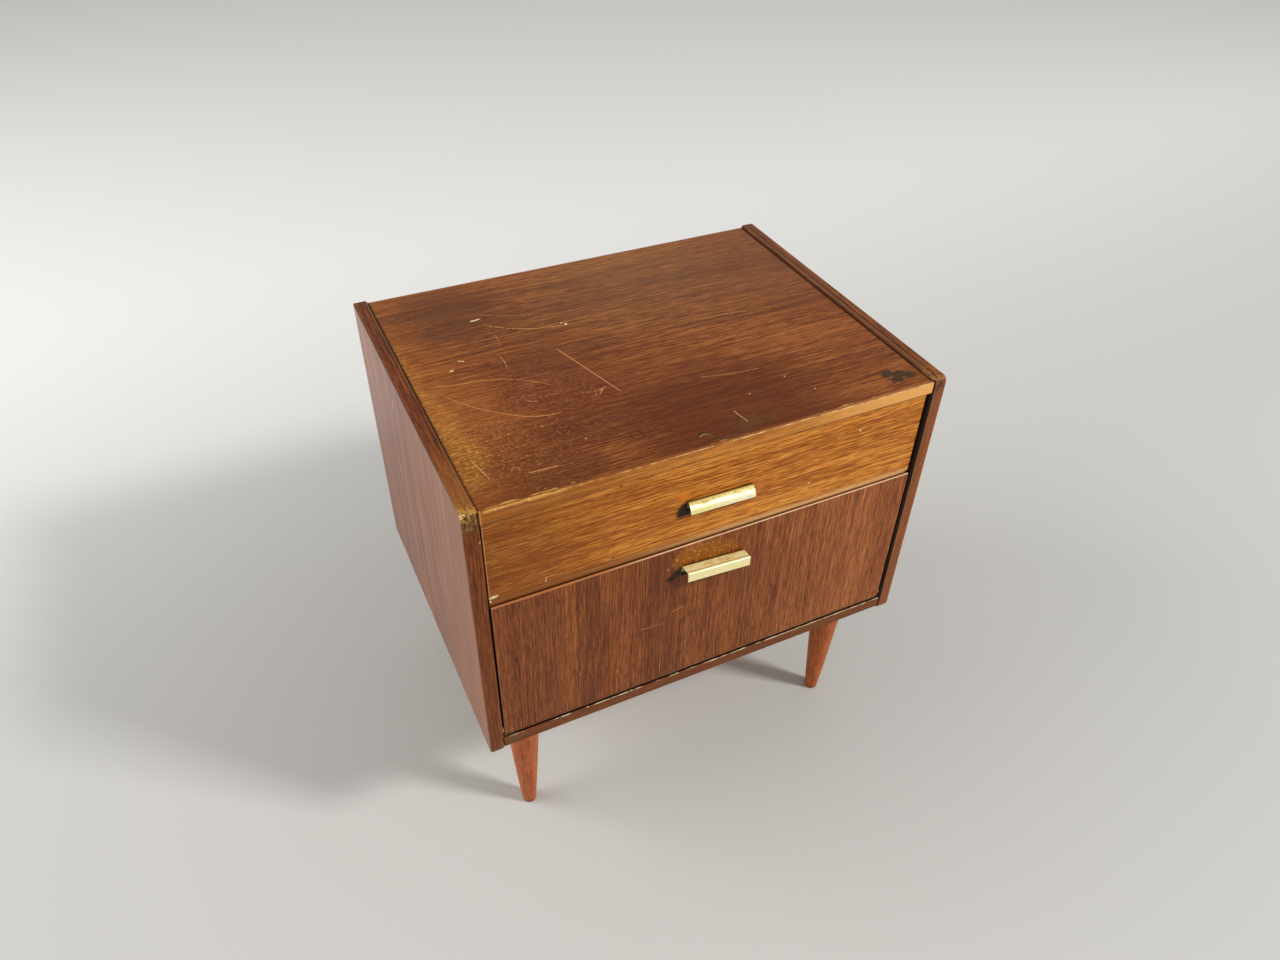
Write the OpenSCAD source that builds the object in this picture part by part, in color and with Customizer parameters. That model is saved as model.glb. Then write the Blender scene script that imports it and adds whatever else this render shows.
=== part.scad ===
// Bedside cabinet with one drawer above a drop-front flap, on four turned legs.
// X runs to the right, Y to the back and Z up. The origin is on the floor, under the
// centre of the box that holds the closed cabinet and its pulls.

/* [Carcass] */
// Width over the side panels
body_w = 530; // [440:5:700]
// Depth of the side panels
body_d = 400; // [360:5:500]
// Height of the side panels
side_h = 350; // [330:5:460]
// Thickness of the side panels
side_t = 16; // [14:0.5:22]
// Thickness of the top board
top_t = 14; // [13:0.5:22]
// Thickness of the bottom board
bottom_t = 15; // [13:0.5:22]
// Thickness of the shelf between the drawer and the flap compartment
shelf_t = 12; // [9:0.5:18]
// How far the top board lies below the top edges of the side panels
top_drop = 3; // [1:0.5:8]
// How far the bottom board lies above the bottom edges of the side panels
bottom_lift = 5; // [0:0.5:8]
// How far the fronts of the top and bottom boards lie behind the side panels
board_setback = 0.7; // [0:0.1:3]
// Thickness of the solid lippings on the edges of the boards
lipping_t = 3.5; // [2:0.5:5]
// Chamfer on the inner top and front edges of the side panels
inner_chamfer = 2.2; // [1:0.1:2.8]
// Radius of the front corners of the side panels
corner_r = 6; // [3:0.5:8]
// Chamfer on the upper ends of the top board
end_chamfer = 0.8; // [0.3:0.1:1.5]
// Chamfer on the front arrises of the top and bottom boards
arris = 0.6; // [0.2:0.1:1.2]

/* [Back panel] */
// Thickness of the back panel
back_t = 4; // [3:0.5:6]
// How far the back panel lies inside the back edges
back_inset = 1; // [0:0.5:3]
// How far the rabbet for the back panel is cut into the boards around it
back_lap = 7; // [4:0.5:8]
// Gap round the back panel in its rabbet
back_gap = 0.4; // [0.2:0.1:0.8]

/* [Joinery] */
// Diameter of the dowels
dowel_d = 8; // [6:1:8]
// Length of the dowels
dowel_l = 30; // [24:1:35]
// Depth of the dowels in the side panels
dowel_depth = 10; // [8:0.5:11]
// Dowels in each end of a board
dowel_count = 3; // [2:1:5]
// Distance of the outer dowels from the front and back edges
dowel_inset = 38; // [30:1:60]
// Depth of the housings for the shelf in the side panels
housing_d = 4; // [2:0.5:6]
// Radial gap round dowels, studs and screws
fit_gap = 0.1; // [0.05:0.01:0.2]
// Gap between faces that meet but aren't glued
seat_gap = 0.3; // [0.2:0.05:0.4]

/* [Legs] */
// Height of the legs
leg_h = 195; // [120:5:260]
// Diameter of a leg at the top
leg_top_d = 42; // [34:1:54]
// Diameter of a leg at the foot
leg_foot_d = 17; // [14:0.5:26]
// Swell of a leg's side at half its height
leg_swell = 0.8; // [0.2:0.1:2]
// Height of the rounded edge at the foot
leg_foot_r = 2.5; // [1:0.5:4]
// Distance of a leg's axis from the outer face of the side panel
leg_inset_x = 52; // [46:1:90]
// Distance of a leg's axis from the front and back edges
leg_inset_y = 50; // [42:1:90]
// Diameter of the threaded stud
stud_d = 8; // [6:1:10]
// Length of the stud inside the leg
stud_in_leg = 32; // [20:1:45]
// Wall of the nut's barrel
nut_wall = 1.8; // [1.2:0.1:3]
// Length of the nut's barrel
nut_barrel_l = 13; // [8:0.5:13]
// Diameter of the nut's flange
nut_flange_d = 24; // [18:1:30]
// Thickness of the nut's flange
nut_flange_t = 1.5; // [1:0.1:2]

/* [Drawer] */
// Height of the drawer front
drawer_front_h = 105; // [90:1:125]
// Thickness of the drawer front
drawer_front_t = 16; // [14:0.5:20]
// How far the drawer front lies behind the side panels
drawer_setback = 4.8; // [2:0.1:6]
// Gap between the drawer front and each side panel
drawer_side_gap = 2.2; // [1:0.1:3]
// Gap between the drawer front and the top board
drawer_top_gap = 1.5; // [1:0.1:3]
// Height of the solid lipping under the drawer front
drawer_lipping_h = 6; // [3:0.5:8]
// Thickness of the drawer sides
drawer_side_t = 12; // [10:0.5:15]
// Height of the drawer sides
drawer_side_h = 88; // [72:1:92]
// Room between the drawer sides and the back panel
drawer_rear_gap = 24; // [6:1:60]
// Height of the drawer front's lower edge above the shelf
shelf_clear = 1.5; // [0.5:0.1:2.5]
// Height of the drawer sides above the shelf
drawer_lift = 2; // [1:0.5:4]
// Thickness of the drawer back
drawer_back_t = 11; // [9:0.5:14]
// Distance of the drawer back from the ends of the sides
drawer_back_inset = 8; // [5:1:20]
// How far the drawer back stays below the tops of the sides
drawer_back_drop = 8; // [3:1:20]
// Thickness of the drawer bottom
drawer_bottom_t = 4; // [3:0.5:6]
// Height of the drawer bottom above the lower edges of the sides
drawer_bottom_rise = 9; // [8:0.5:12]
// Depth of the grooves that hold the drawer bottom
panel_groove = 5; // [3:0.5:5]
// Depth of the housings that hold the drawer back
drawer_back_housing = 3; // [2:0.5:3]
// Dovetails in each front corner of the drawer
tail_count = 3; // [2:1:4]
// Length of the dovetails
tail_l = 11; // [8:0.5:12]
// Width of a dovetail at its root
tail_root_w = 13; // [8:0.5:15]
// Widening of a dovetail on each side
tail_flare = 1.8; // [1:0.1:2.5]
// Solid wood left above and below the row of dovetails
tail_margin = 9; // [8:0.5:12]

/* [Drawer runners] */
// Height of a runner
runner_h = 12; // [9:0.5:14]
// Depth of the runner grooves in the drawer sides
runner_groove = 6.5; // [4:0.5:6.5]
// Height of a runner above the lower edge of the drawer side
runner_rise = 36; // [28:1:44]
// Distance of a runner's front end from the back of the drawer front
runner_start = 3; // [1:1:10]
// Room between a runner and the back panel
runner_rear_gap = 19; // [2:1:60]
// Screws in each runner
runner_screws_n = 3; // [2:1:4]
// Distance of the outer screws from the ends of a runner
runner_screw_inset = 30; // [20:1:60]
// Distance of each stop block from the middle of the shelf
stop_offset = 150; // [60:5:180]
// Width of a stop block
stop_w = 34; // [20:1:50]
// Depth of a stop block
stop_d = 18; // [10:1:30]
// Height of a stop block
stop_h = 6; // [4:0.5:8]

/* [Flap] */
// Thickness of the flap
flap_t = 16; // [15:0.5:20]
// How far the flap lies behind the side panels
flap_setback = 2.3; // [1:0.1:5]
// Gap between the flap and each side panel
flap_side_gap = 2; // [1.8:0.1:3]
// Gap above and below the flap
flap_gap = 3; // [2.8:0.1:4]
// Radius of the flap's arrises
flap_arris_r = 1.2; // [0.5:0.1:2]
// Distance of the pivot pins from the flap's face
pivot_inset = 6; // [5:0.5:6.5]
// Height of the pivot pins above the flap's lower edge
pivot_rise = 6; // [5:0.5:6.5]
// Diameter of the pivot pins
pivot_d = 5; // [4:0.5:6]
// Depth of the pivot pins in the flap
pivot_in_flap = 24; // [15:1:40]
// How far the pivot pins stop short of the ends of the bushes
pivot_short = 1; // [0.5:0.1:2]
// Radial running gap of the pivot pins and the stay's rivet
running_gap = 0.06; // [0.03:0.01:0.1]
// Diameter of the bushes in the side panels
bush_d = 9; // [8:0.5:10]
// Depth of the bushes in the side panels
bush_depth = 9; // [6:0.5:11]
// Diameter of the bushes' collars
bush_collar_d = 11; // [10.5:0.5:11.5]
// Thickness of the bushes' collars
bush_collar_t = 1.4; // [0.8:0.1:1.5]

/* [Flap stay] */
// Height of the stay's rivet above the pivot pins
stay_rise = 108; // [80:1:120]
// Distance of the stay's rivet from the inside of the flap
stay_standoff = 9; // [8.5:0.5:12]
// Angle at the pivot between the rivet and the wall pin while the flap is shut
stay_lead = 25; // [20:1:35]
// How far the flap opens
flap_open = 90; // [70:1:90]
// Width of the stay's arm
stay_w = 12; // [11:0.5:14]
// Thickness of the stay's arm and bracket
stay_t = 1.6; // [1.2:0.1:2]
// Distance of the arm from the side panel
stay_wall_gap = 7; // [6:0.5:10]
// Diameter of the rivet
rivet_d = 4; // [3:0.5:5]
// Diameter of the rivet's heads
rivet_head_d = 7; // [6:0.5:9]
// Thickness of the heads on the rivet and the wall pin
rivet_head_t = 1.3; // [0.8:0.1:2]
// Diameter of the wall pin
wall_pin_d = 5; // [4:0.5:6]
// Diameter of the wall pin's head
wall_pin_head_d = 9.5; // [8:0.5:12]
// Diameter of the wall pin's base
wall_pin_base_d = 13; // [9:0.5:16]
// Thickness of the wall pin's base
wall_pin_base_t = 2; // [1:0.5:4]
// Gap on each side of the wall pin in the slot
slot_gap = 0.3; // [0.2:0.05:0.6]
// Width of the bracket's foot on the flap
bracket_w = 18; // [14:1:30]
// Height of the bracket's foot on the flap
bracket_h = 34; // [26:1:50]

/* [Catch] */
// Width of the catch's case
catch_w = 34; // [26:1:46]
// Depth of the catch's case
catch_d = 15; // [12:0.5:20]
// Height of the catch's case
catch_h = 11; // [9:0.5:14]
// Width of the ears on the case
catch_ear = 9; // [8:0.5:14]
// Thickness of the ears on the case
catch_ear_t = 2.4; // [1.5:0.1:3]
// Width of the magnet's two pole plates
pole_w = 24; // [16:1:30]
// Thickness of the pole plates
pole_t = 1.5; // [1:0.1:2]
// Distance between the middles of the pole plates
pole_pitch = 5; // [3:0.5:6]
// How far the pole plates stand out of the case
pole_proud = 1; // [0.5:0.1:2]
// Wall of the case behind the pole plates
pole_cover = 3; // [2:0.5:5]
// Thickness of the striking plate
strike_t = 1.2; // [0.8:0.1:2]

/* [Pulls] */
// Length of the pulls
pull_l = 75; // [50:1:120]
// Thickness of the pulls' sheet
pull_t = 1.2; // [0.8:0.1:1.6]
// Outer radius of the folds
pull_bend_r = 2; // [1.7:0.1:3]
// Height of the flanges that are screwed to the wood
pull_flange_h = 14; // [12:0.5:20]
// Distance of the screws from the middle of a pull
pull_screw_offset = 27; // [15:1:30]
// Depth of the screws below the top of a pull
pull_screw_drop = 8.5; // [8:0.5:10]
// Radius of the drawer pull's rounded hood
hood_r = 18; // [14:0.5:24]
// Steepness of the hood where it leaves the wood
hood_start = 35; // [20:1:45]
// Steepness of the hood at its lip
hood_end = 75; // [60:1:85]
// Depth of the flap pull's flat top between its folds
ledge_l = 12; // [8:0.5:18]
// Length of the flap pull's lip below its fold
lip_l = 8.5; // [5:0.5:12]
// How much the flap pull's top rises towards its lip
lip_rise = 6; // [0:1:10]
// Depth of the drawer pull below the top of the drawer front
drawer_pull_drop = 50; // [30:1:60]
// How far the drawer pull has slipped askew
drawer_pull_tilt = 1.5; // [-3:0.5:3]
// Depth of the flap pull below the top of the flap
flap_pull_drop = 30; // [20:1:60]
// Distance of the flap pull from the middle
flap_pull_x = -3; // [-20:1:20]
// How far the flap pull has slipped askew
flap_pull_tilt = 4; // [-5:0.5:5]

/* [Screws] */
// Diameter of the wood screws
screw_d = 3.5; // [3:0.1:4]
// Diameter of the screw heads
screw_head_d = 6.6; // [6:0.1:7]
// Height of the round screw heads on the pulls
screw_dome_h = 2; // [1.5:0.1:2.5]
// Least distance between a screw head and the edge beside it
screw_edge = 2; // [1:0.5:3]
// Depth of the wood screws in what they hold
screw_bite = 9; // [6:0.5:11]
// Depth of the catch's screws in the shelf
catch_screw_bite = 7; // [5:0.5:8]

/* [Hidden] */
$fn = 48;

// Overcut of a cut past the face that it opens
over = 1;

// Carcass places
inner_w = body_w - 2 * side_t;
flap_pull_reach = pull_bend_r + cos(lip_rise) * (ledge_l + pull_bend_r - pull_t / 2)
    + sin(lip_rise) * lip_l + pull_t / 2;
front_y = -(body_d + flap_setback - flap_pull_reach) / 2;
back_y = front_y + body_d;
body_z = leg_h - bottom_lift;
board_z = leg_h;
side_top_z = body_z + side_h;
top_z = side_top_z - top_drop;
back_face_y = back_y - back_inset - back_t;

// Drawer places
drawer_z = top_z - top_t - drawer_top_gap - drawer_front_h;
drawer_y = front_y + drawer_setback;
drawer_box_y = drawer_y + drawer_front_t;
drawer_w = inner_w - 2 * drawer_side_gap;
drawer_side_l = back_face_y - drawer_rear_gap - drawer_box_y;
shelf_top_z = drawer_z - shelf_clear;
drawer_low_z = shelf_top_z + drawer_lift;
drawer_bottom_z = drawer_low_z + drawer_bottom_rise;
runner_z = drawer_low_z + runner_rise;
runner_w = drawer_side_gap + runner_groove - seat_gap;
runner_y = drawer_box_y + runner_start;
runner_l = back_face_y - runner_rear_gap - runner_y;

// Flap places
flap_y = front_y + flap_setback;
flap_back_y = flap_y + flap_t;
flap_z = board_z + bottom_t + flap_gap;
flap_h = drawer_z - flap_gap - flap_z;
flap_w = inner_w - 2 * flap_side_gap;
pivot_y = flap_y + pivot_inset;
pivot_z = flap_z + pivot_rise;
shelf_y = flap_back_y + seat_gap;

// The stay's wall pin lies on the circle that the rivet draws round the flap's pivots, so the
// arm always turns at half the flap's rate while it slides along the pin.
rivet_dy = flap_t - pivot_inset + stay_standoff;
stay_r = norm([rivet_dy, stay_rise]);
rivet_angle = atan2(stay_rise, rivet_dy);
rivet_y = pivot_y + rivet_dy;
rivet_z = pivot_z + stay_rise;
wall_pin_y = pivot_y + stay_r * cos(rivet_angle - stay_lead);
wall_pin_z = pivot_z + stay_r * sin(rivet_angle - stay_lead);
stay_shut_l = 2 * stay_r * sin(stay_lead / 2);
stay_open_l = 2 * stay_r * sin((stay_lead + flap_open) / 2);
stay_x = inner_w / 2 - stay_wall_gap - stay_t;
bracket_x = stay_x + stay_t + seat_gap;
screw_cone = (screw_head_d - screw_d) / 2;
catch_y = flap_back_y + strike_t + seat_gap + pole_proud;
catch_top_z = shelf_top_z - shelf_t;

// Shapes shared by several parts

// Extrudes an outline drawn in Y and Z along X
module along_x(x, l) {
    translate([x, 0, 0]) rotate([90, 0, 90]) linear_extrude(l) children();
}

// The right half's shape and its mirror image
module both_sides() {
    children();
    mirror([1, 0, 0]) children();
}

// A sector of a ring between two angles, under 180 degrees apart
module ring_sector(r, t, from, to) {
    difference() {
        circle(r);
        circle(r - t);
        rotate(from) translate([-2 * r, -2 * r]) square([4 * r, 2 * r]);
        rotate(to) translate([-2 * r, 0]) square([4 * r, 2 * r]);
    }
}

// A bar with round ends, drawn between two points of the X axis
module round_bar(from, to, w) {
    translate([from, -w / 2]) square([to - from, w]);
    for (x = [from, to]) translate([x, 0]) circle(d = w);
}

// A countersunk wood screw whose head lies at the origin and whose point is down
module screw(l, gap = 0) {
    translate([0, 0, -l - gap]) cylinder(d = screw_d + 2 * gap, h = l + gap - screw_cone);
    translate([0, 0, -screw_cone - gap])
        cylinder(d1 = screw_d + 2 * gap, d2 = screw_head_d + 2 * gap, h = screw_cone + gap);
    if (gap > 0) cylinder(d = screw_head_d + 2 * gap, h = over);
}

// A round-head wood screw whose head rests at the origin and whose point is down
module round_screw(l) {
    dome_r = (pow(screw_head_d / 2, 2) + pow(screw_dome_h, 2)) / (2 * screw_dome_h);
    translate([0, 0, -l]) cylinder(d = screw_d, h = l);
    intersection() {
        cylinder(d = screw_head_d, h = screw_dome_h);
        translate([0, 0, screw_dome_h - dome_r]) sphere(r = dome_r);
    }
}

// Places shared by a hole and what goes in it

function spread(n, from, to) = [for (i = [0 : n - 1]) from + (to - from) * i / (n - 1)];
dowel_ys = spread(dowel_count, front_y + dowel_inset, back_y - dowel_inset);
dowel_zs = [board_z + bottom_t / 2, top_z - top_t / 2];
runner_screw_ys = spread(runner_screws_n, runner_y + runner_screw_inset,
    runner_y + runner_l - runner_screw_inset);
leg_ys = [front_y + leg_inset_y, back_y - leg_inset_y];
leg_x = body_w / 2 - leg_inset_x;
catch_screw_x = (catch_w + catch_ear) / 2;
strike_screw_x = catch_w / 4;

module dowel_row(gap) {
    for (y = dowel_ys, z = dowel_zs)
        translate([inner_w / 2 + dowel_depth + gap, y, z]) rotate([0, -90, 0])
            cylinder(d = dowel_d + 2 * gap, h = dowel_l + 2 * gap);
}

module runner_screw_row(gap) {
    for (y = runner_screw_ys)
        translate([inner_w / 2 - runner_w, y, runner_z + runner_h / 2]) rotate([0, -90, 0])
            screw(runner_w + screw_bite, gap);
}

module at_legs() {
    for (x = [-leg_x, leg_x], y = leg_ys) translate([x, y, board_z]) children();
}

// The back panel's space, which a cut opens to the back
module back_space(gap, depth) {
    lap = back_lap - gap;
    low = board_z + bottom_t - lap;
    translate([-inner_w / 2 - lap, back_face_y, low])
        cube([inner_w + 2 * lap, depth, top_z - top_t + lap - low]);
}

// Side panels

module side_outline() {
    difference() {
        translate([front_y, body_z]) square([body_d, side_h]);
        translate([front_y, side_top_z]) corner_waste();
        translate([front_y, body_z]) mirror([0, 1]) corner_waste();
    }
}

module corner_waste() {
    difference() {
        translate([-over, -corner_r]) square([corner_r + over, corner_r + over]);
        translate([corner_r, -corner_r]) circle(corner_r);
    }
}

// Cuts the chamfer off the inner face of the right side panel
module chamfer_waste() {
    c = inner_chamfer;
    x = inner_w / 2;
    wedge = c + over;
    translate([x, back_y + over, side_top_z]) rotate([90, 0, 0])
        linear_extrude(body_d + 2 * over) polygon([[0, -c], [wedge, over], [0, over]]);
    translate([x, front_y, body_z - over])
        linear_extrude(side_h + 2 * over) polygon([[0, c], [0, -over], [wedge, -over]]);
    translate([x, front_y, side_top_z]) chamfer_corner();
    translate([x, front_y, body_z]) mirror([0, 0, 1]) chamfer_corner();
}

module chamfer_corner() {
    difference() {
        translate([-over, -over, -corner_r])
            cube([inner_chamfer + over, corner_r + over, corner_r + over]);
        translate([0, corner_r, -corner_r]) rotate([0, 90, 0])
            cylinder(r1 = corner_r - inner_chamfer, r2 = corner_r, h = inner_chamfer);
    }
}

// The right side panel with its lippings, cut for all that meets it
module side_blank() {
    difference() {
        along_x(inner_w / 2, side_t) side_outline();
        chamfer_waste();
        dowel_row(fit_gap);
        runner_screw_row(fit_gap);
        translate([0, shelf_y, shelf_top_z - shelf_t])
            cube([inner_w / 2 + housing_d, body_d, shelf_t]);
        back_space(0, back_t + back_inset + over);
        translate([inner_w / 2 - over, pivot_y, pivot_z]) rotate([0, 90, 0])
            cylinder(d = bush_d + 2 * fit_gap, h = bush_depth + over + fit_gap);
    }
}

module side_panel_core() {
    intersection() {
        side_blank();
        along_x(inner_w / 2, side_t)
            translate([front_y + lipping_t, body_z]) square([body_d, side_h - lipping_t]);
    }
}

module side_front_strip() {
    intersection() {
        side_blank();
        along_x(inner_w / 2, side_t) translate([front_y, 0])
            polygon([[0, body_z], [lipping_t, body_z], [lipping_t, side_top_z - lipping_t],
                [0, side_top_z]]);
    }
}

module side_top_strip() {
    intersection() {
        side_blank();
        along_x(inner_w / 2, side_t) translate([front_y, side_top_z])
            polygon([[0, 0], [lipping_t, -lipping_t], [body_d, -lipping_t], [body_d, 0]]);
    }
}

module side_panel_left() { color("sienna") mirror([1, 0, 0]) side_panel_core(); }

module side_panel_right() {
    color("sienna") difference() {
        side_panel_core();
        wall_pin_screw(fit_gap);
    }
}

module side_front_lipping_left() { color("saddlebrown") mirror([1, 0, 0]) side_front_strip(); }
module side_front_lipping_right() { color("saddlebrown") side_front_strip(); }
module side_top_lipping_left() { color("saddlebrown") mirror([1, 0, 0]) side_top_strip(); }
module side_top_lipping_right() { color("saddlebrown") side_top_strip(); }

// Top and bottom boards, shelf and back

// A strip along the front edge of a board, with its front arrises broken
module board_strip(z, t) {
    along_x(-inner_w / 2, inner_w) translate([front_y + board_setback, z])
        polygon([[0, arris], [arris, 0], [lipping_t, 0], [lipping_t, t], [arris, t],
            [0, t - arris]]);
}

module board_core(z, t) {
    y = front_y + board_setback + lipping_t;
    translate([-inner_w / 2, y, z]) cube([inner_w, back_y - y, t]);
}

module top_end_waste() {
    both_sides() translate([inner_w / 2, back_y + over, top_z]) rotate([90, 0, 0])
        linear_extrude(body_d + 2 * over)
            polygon([[over, -end_chamfer - over], [-end_chamfer - over, over], [over, over]]);
}

module top_board() {
    color("sienna") difference() {
        board_core(top_z - top_t, top_t);
        top_end_waste();
        both_sides() dowel_row(fit_gap);
        back_space(0, back_t + back_inset + over);
    }
}

module top_board_lipping() {
    color("peru") difference() {
        board_strip(top_z - top_t, top_t);
        top_end_waste();
    }
}

module bottom_board() {
    color("sienna") difference() {
        board_core(board_z, bottom_t);
        both_sides() dowel_row(fit_gap);
        back_space(0, back_t + back_inset + over);
        at_legs() translate([0, 0, -over])
            cylinder(d = stud_d + 2 * nut_wall + 4 * fit_gap, h = bottom_t + 2 * over);
    }
}

module bottom_board_lipping() { color("saddlebrown") board_strip(board_z, bottom_t); }

module shelf() {
    w = inner_w + 2 * housing_d;
    color("tan") difference() {
        translate([-w / 2, shelf_y, shelf_top_z - shelf_t])
            cube([w, back_face_y - shelf_y, shelf_t]);
        catch_screw_pair(fit_gap);
    }
}

module back_panel() { color("burlywood") back_space(back_gap, back_t); }

module dowels() { color("wheat") both_sides() dowel_row(0); }

// Legs and their fixings

// Half outline of a leg, with its axis on Y and its top at zero
module leg_outline() {
    rt = leg_top_d / 2;
    rf = leg_foot_d / 2;
    steps = 12;
    foot_z = -leg_h + leg_foot_r;
    swollen = [for (i = [0 : steps]) let (u = i / steps)
        [rt + (rf - rt) * u + 4 * leg_swell * u * (1 - u), foot_z * u]];
    foot = [for (a = [15 : 15 : 90]) [rf - leg_foot_r * (1 - cos(a)) / 2,
        foot_z - leg_foot_r * sin(a)]];
    polygon(concat([[0, 0]], swollen, foot, [[0, -leg_h]]));
}

module leg(x, y) {
    color("chocolate") translate([x, y, board_z]) difference() {
        rotate_extrude() leg_outline();
        translate([0, 0, -stud_in_leg - fit_gap])
            cylinder(d = stud_d + 2 * fit_gap, h = stud_in_leg + fit_gap + over);
    }
}

module leg_front_left() { leg(-leg_x, leg_ys[0]); }
module leg_front_right() { leg(leg_x, leg_ys[0]); }
module leg_rear_left() { leg(-leg_x, leg_ys[1]); }
module leg_rear_right() { leg(leg_x, leg_ys[1]); }

module leg_studs() {
    color("darkgray") at_legs() translate([0, 0, -stud_in_leg])
        cylinder(d = stud_d, h = stud_in_leg + bottom_t);
}

module leg_nuts() {
    color("silver") at_legs() translate([0, 0, bottom_t]) difference() {
        union() {
            translate([0, 0, -nut_barrel_l])
                cylinder(d = stud_d + 2 * nut_wall + 2 * fit_gap, h = nut_barrel_l);
            cylinder(d = nut_flange_d, h = nut_flange_t);
        }
        translate([0, 0, -nut_barrel_l - over])
            cylinder(d = stud_d + 2 * fit_gap, h = nut_barrel_l + nut_flange_t + 2 * over);
    }
}

// Drawer runners and stops

module runner() {
    color("burlywood") difference() {
        translate([inner_w / 2 - runner_w, runner_y, runner_z])
            cube([runner_w, runner_l, runner_h]);
        runner_screw_row(fit_gap);
    }
}

module drawer_runner_left() { mirror([1, 0, 0]) runner(); }
module drawer_runner_right() { runner(); }
module runner_screws() { color("silver") both_sides() runner_screw_row(0); }

module drawer_stops() {
    color("burlywood") both_sides()
        translate([stop_offset - stop_w / 2, drawer_box_y + seat_gap, shelf_top_z])
            cube([stop_w, stop_d, stop_h]);
}

// Drawer

tail_pitch = (drawer_side_h - 2 * tail_margin) / tail_count;

module tails(gap) {
    for (i = [0 : tail_count - 1]) {
        z = drawer_low_z + tail_margin + tail_pitch * (i + 0.5);
        root = tail_root_w / 2 + gap;
        tip = root + tail_flare;
        translate([drawer_box_y, z]) polygon([[0, -root], [0, root],
            [-tail_l - gap, tip], [-tail_l - gap, -tip]]);
    }
}

module drawer_bottom_groove(gap) {
    w = drawer_w - 2 * drawer_side_t + 2 * panel_groove;
    y = drawer_box_y - panel_groove;
    translate([-w / 2 + gap, y + gap, drawer_bottom_z])
        cube([w - 2 * gap, panel_groove + drawer_side_l - gap, drawer_bottom_t]);
}

module drawer_front() {
    z = drawer_z + drawer_lipping_h;
    color("peru") difference() {
        translate([-drawer_w / 2, drawer_y, z])
            cube([drawer_w, drawer_front_t, drawer_front_h - drawer_lipping_h]);
        both_sides() along_x(drawer_w / 2 - drawer_side_t - fit_gap, drawer_side_t + over)
            tails(fit_gap);
        drawer_bottom_groove(0);
        at_drawer_pull() pull_screw_pair(fit_gap);
    }
}

module drawer_front_lipping() {
    color("burlywood") translate([-drawer_w / 2, drawer_y, drawer_z])
        cube([drawer_w, drawer_front_t, drawer_lipping_h]);
}

module drawer_side() {
    color("wheat") difference() {
        along_x(drawer_w / 2 - drawer_side_t, drawer_side_t) {
            translate([drawer_box_y, drawer_low_z]) square([drawer_side_l, drawer_side_h]);
            tails(0);
        }
        translate([drawer_w / 2 - runner_groove, drawer_box_y, runner_z - seat_gap])
            cube([drawer_side_t, drawer_side_l + over, runner_h + 2 * seat_gap]);
        drawer_bottom_groove(0);
        drawer_back_board(0);
    }
}

module drawer_side_left() { mirror([1, 0, 0]) drawer_side(); }
module drawer_side_right() { drawer_side(); }

module drawer_back_board(gap) {
    w = drawer_w - 2 * drawer_side_t + 2 * drawer_back_housing - 2 * gap;
    z = drawer_bottom_z + drawer_bottom_t;
    y = drawer_box_y + drawer_side_l - drawer_back_inset - drawer_back_t;
    translate([-w / 2, y, z])
        cube([w, drawer_back_t, drawer_low_z + drawer_side_h - drawer_back_drop - z]);
}

module drawer_back() { color("wheat") drawer_back_board(fit_gap); }
module drawer_bottom() { color("burlywood") drawer_bottom_groove(fit_gap); }

// Flap and its pivots

module flap_outline() {
    r = flap_arris_r;
    difference() {
        translate([flap_y, flap_z]) square([flap_t, flap_h]);
        for (top = [0, 1]) translate([flap_y, flap_z + top * flap_h]) mirror([0, top])
            difference() {
                translate([-over, -over]) square([r + over, r + over]);
                translate([r, r]) circle(r);
            }
    }
}

module flap() {
    color("saddlebrown") difference() {
        along_x(-flap_w / 2, flap_w) flap_outline();
        both_sides() pivot_pin(fit_gap);
        at_flap_pull() pull_screw_pair(fit_gap);
        bracket_screw_pair(fit_gap);
        strike_screw_pair(fit_gap);
    }
}

module pivot_pin(gap) {
    x = flap_w / 2 - pivot_in_flap - gap;
    translate([x, pivot_y, pivot_z]) rotate([0, 90, 0])
        cylinder(d = pivot_d + 2 * gap, h = inner_w / 2 + bush_depth - pivot_short - x);
}

module flap_pivot_pins() { color("silver") both_sides() pivot_pin(0); }

module flap_bushes() {
    color("goldenrod") both_sides() translate([inner_w / 2, pivot_y, pivot_z])
        rotate([0, 90, 0]) difference() {
            union() {
                cylinder(d = bush_d, h = bush_depth);
                translate([0, 0, -bush_collar_t]) cylinder(d = bush_collar_d, h = bush_collar_t);
            }
            translate([0, 0, -bush_collar_t - over])
                cylinder(d = pivot_d + 2 * running_gap, h = bush_depth + bush_collar_t + 2 * over);
        }
}

// Flap stay

module stay_arm() {
    along = rivet_angle - stay_lead / 2 - 90;
    color("goldenrod") along_x(stay_x, stay_t) translate([rivet_y, rivet_z]) rotate(along)
        difference() {
            round_bar(0, stay_open_l + wall_pin_d / 2, stay_w);
            circle(d = rivet_d + 2 * running_gap);
            round_bar(stay_shut_l - slot_gap, stay_open_l, wall_pin_d + 2 * slot_gap);
        }
}

module stay_bracket() {
    ear_r = stay_w / 2;
    color("goldenrod") difference() {
        union() {
            translate([bracket_x + stay_t - bracket_w, flap_back_y, rivet_z - bracket_h / 2])
                cube([bracket_w, stay_t, bracket_h]);
            along_x(bracket_x, stay_t) translate([0, rivet_z]) {
                translate([rivet_y, 0]) circle(ear_r);
                translate([flap_back_y, -ear_r]) square([stay_standoff, 2 * ear_r]);
            }
        }
        translate([stay_x, rivet_y, rivet_z]) rotate([0, 90, 0])
            cylinder(d = rivet_d + 2 * running_gap, h = stay_wall_gap + stay_t);
        bracket_screw_pair(fit_gap);
    }
}

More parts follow.
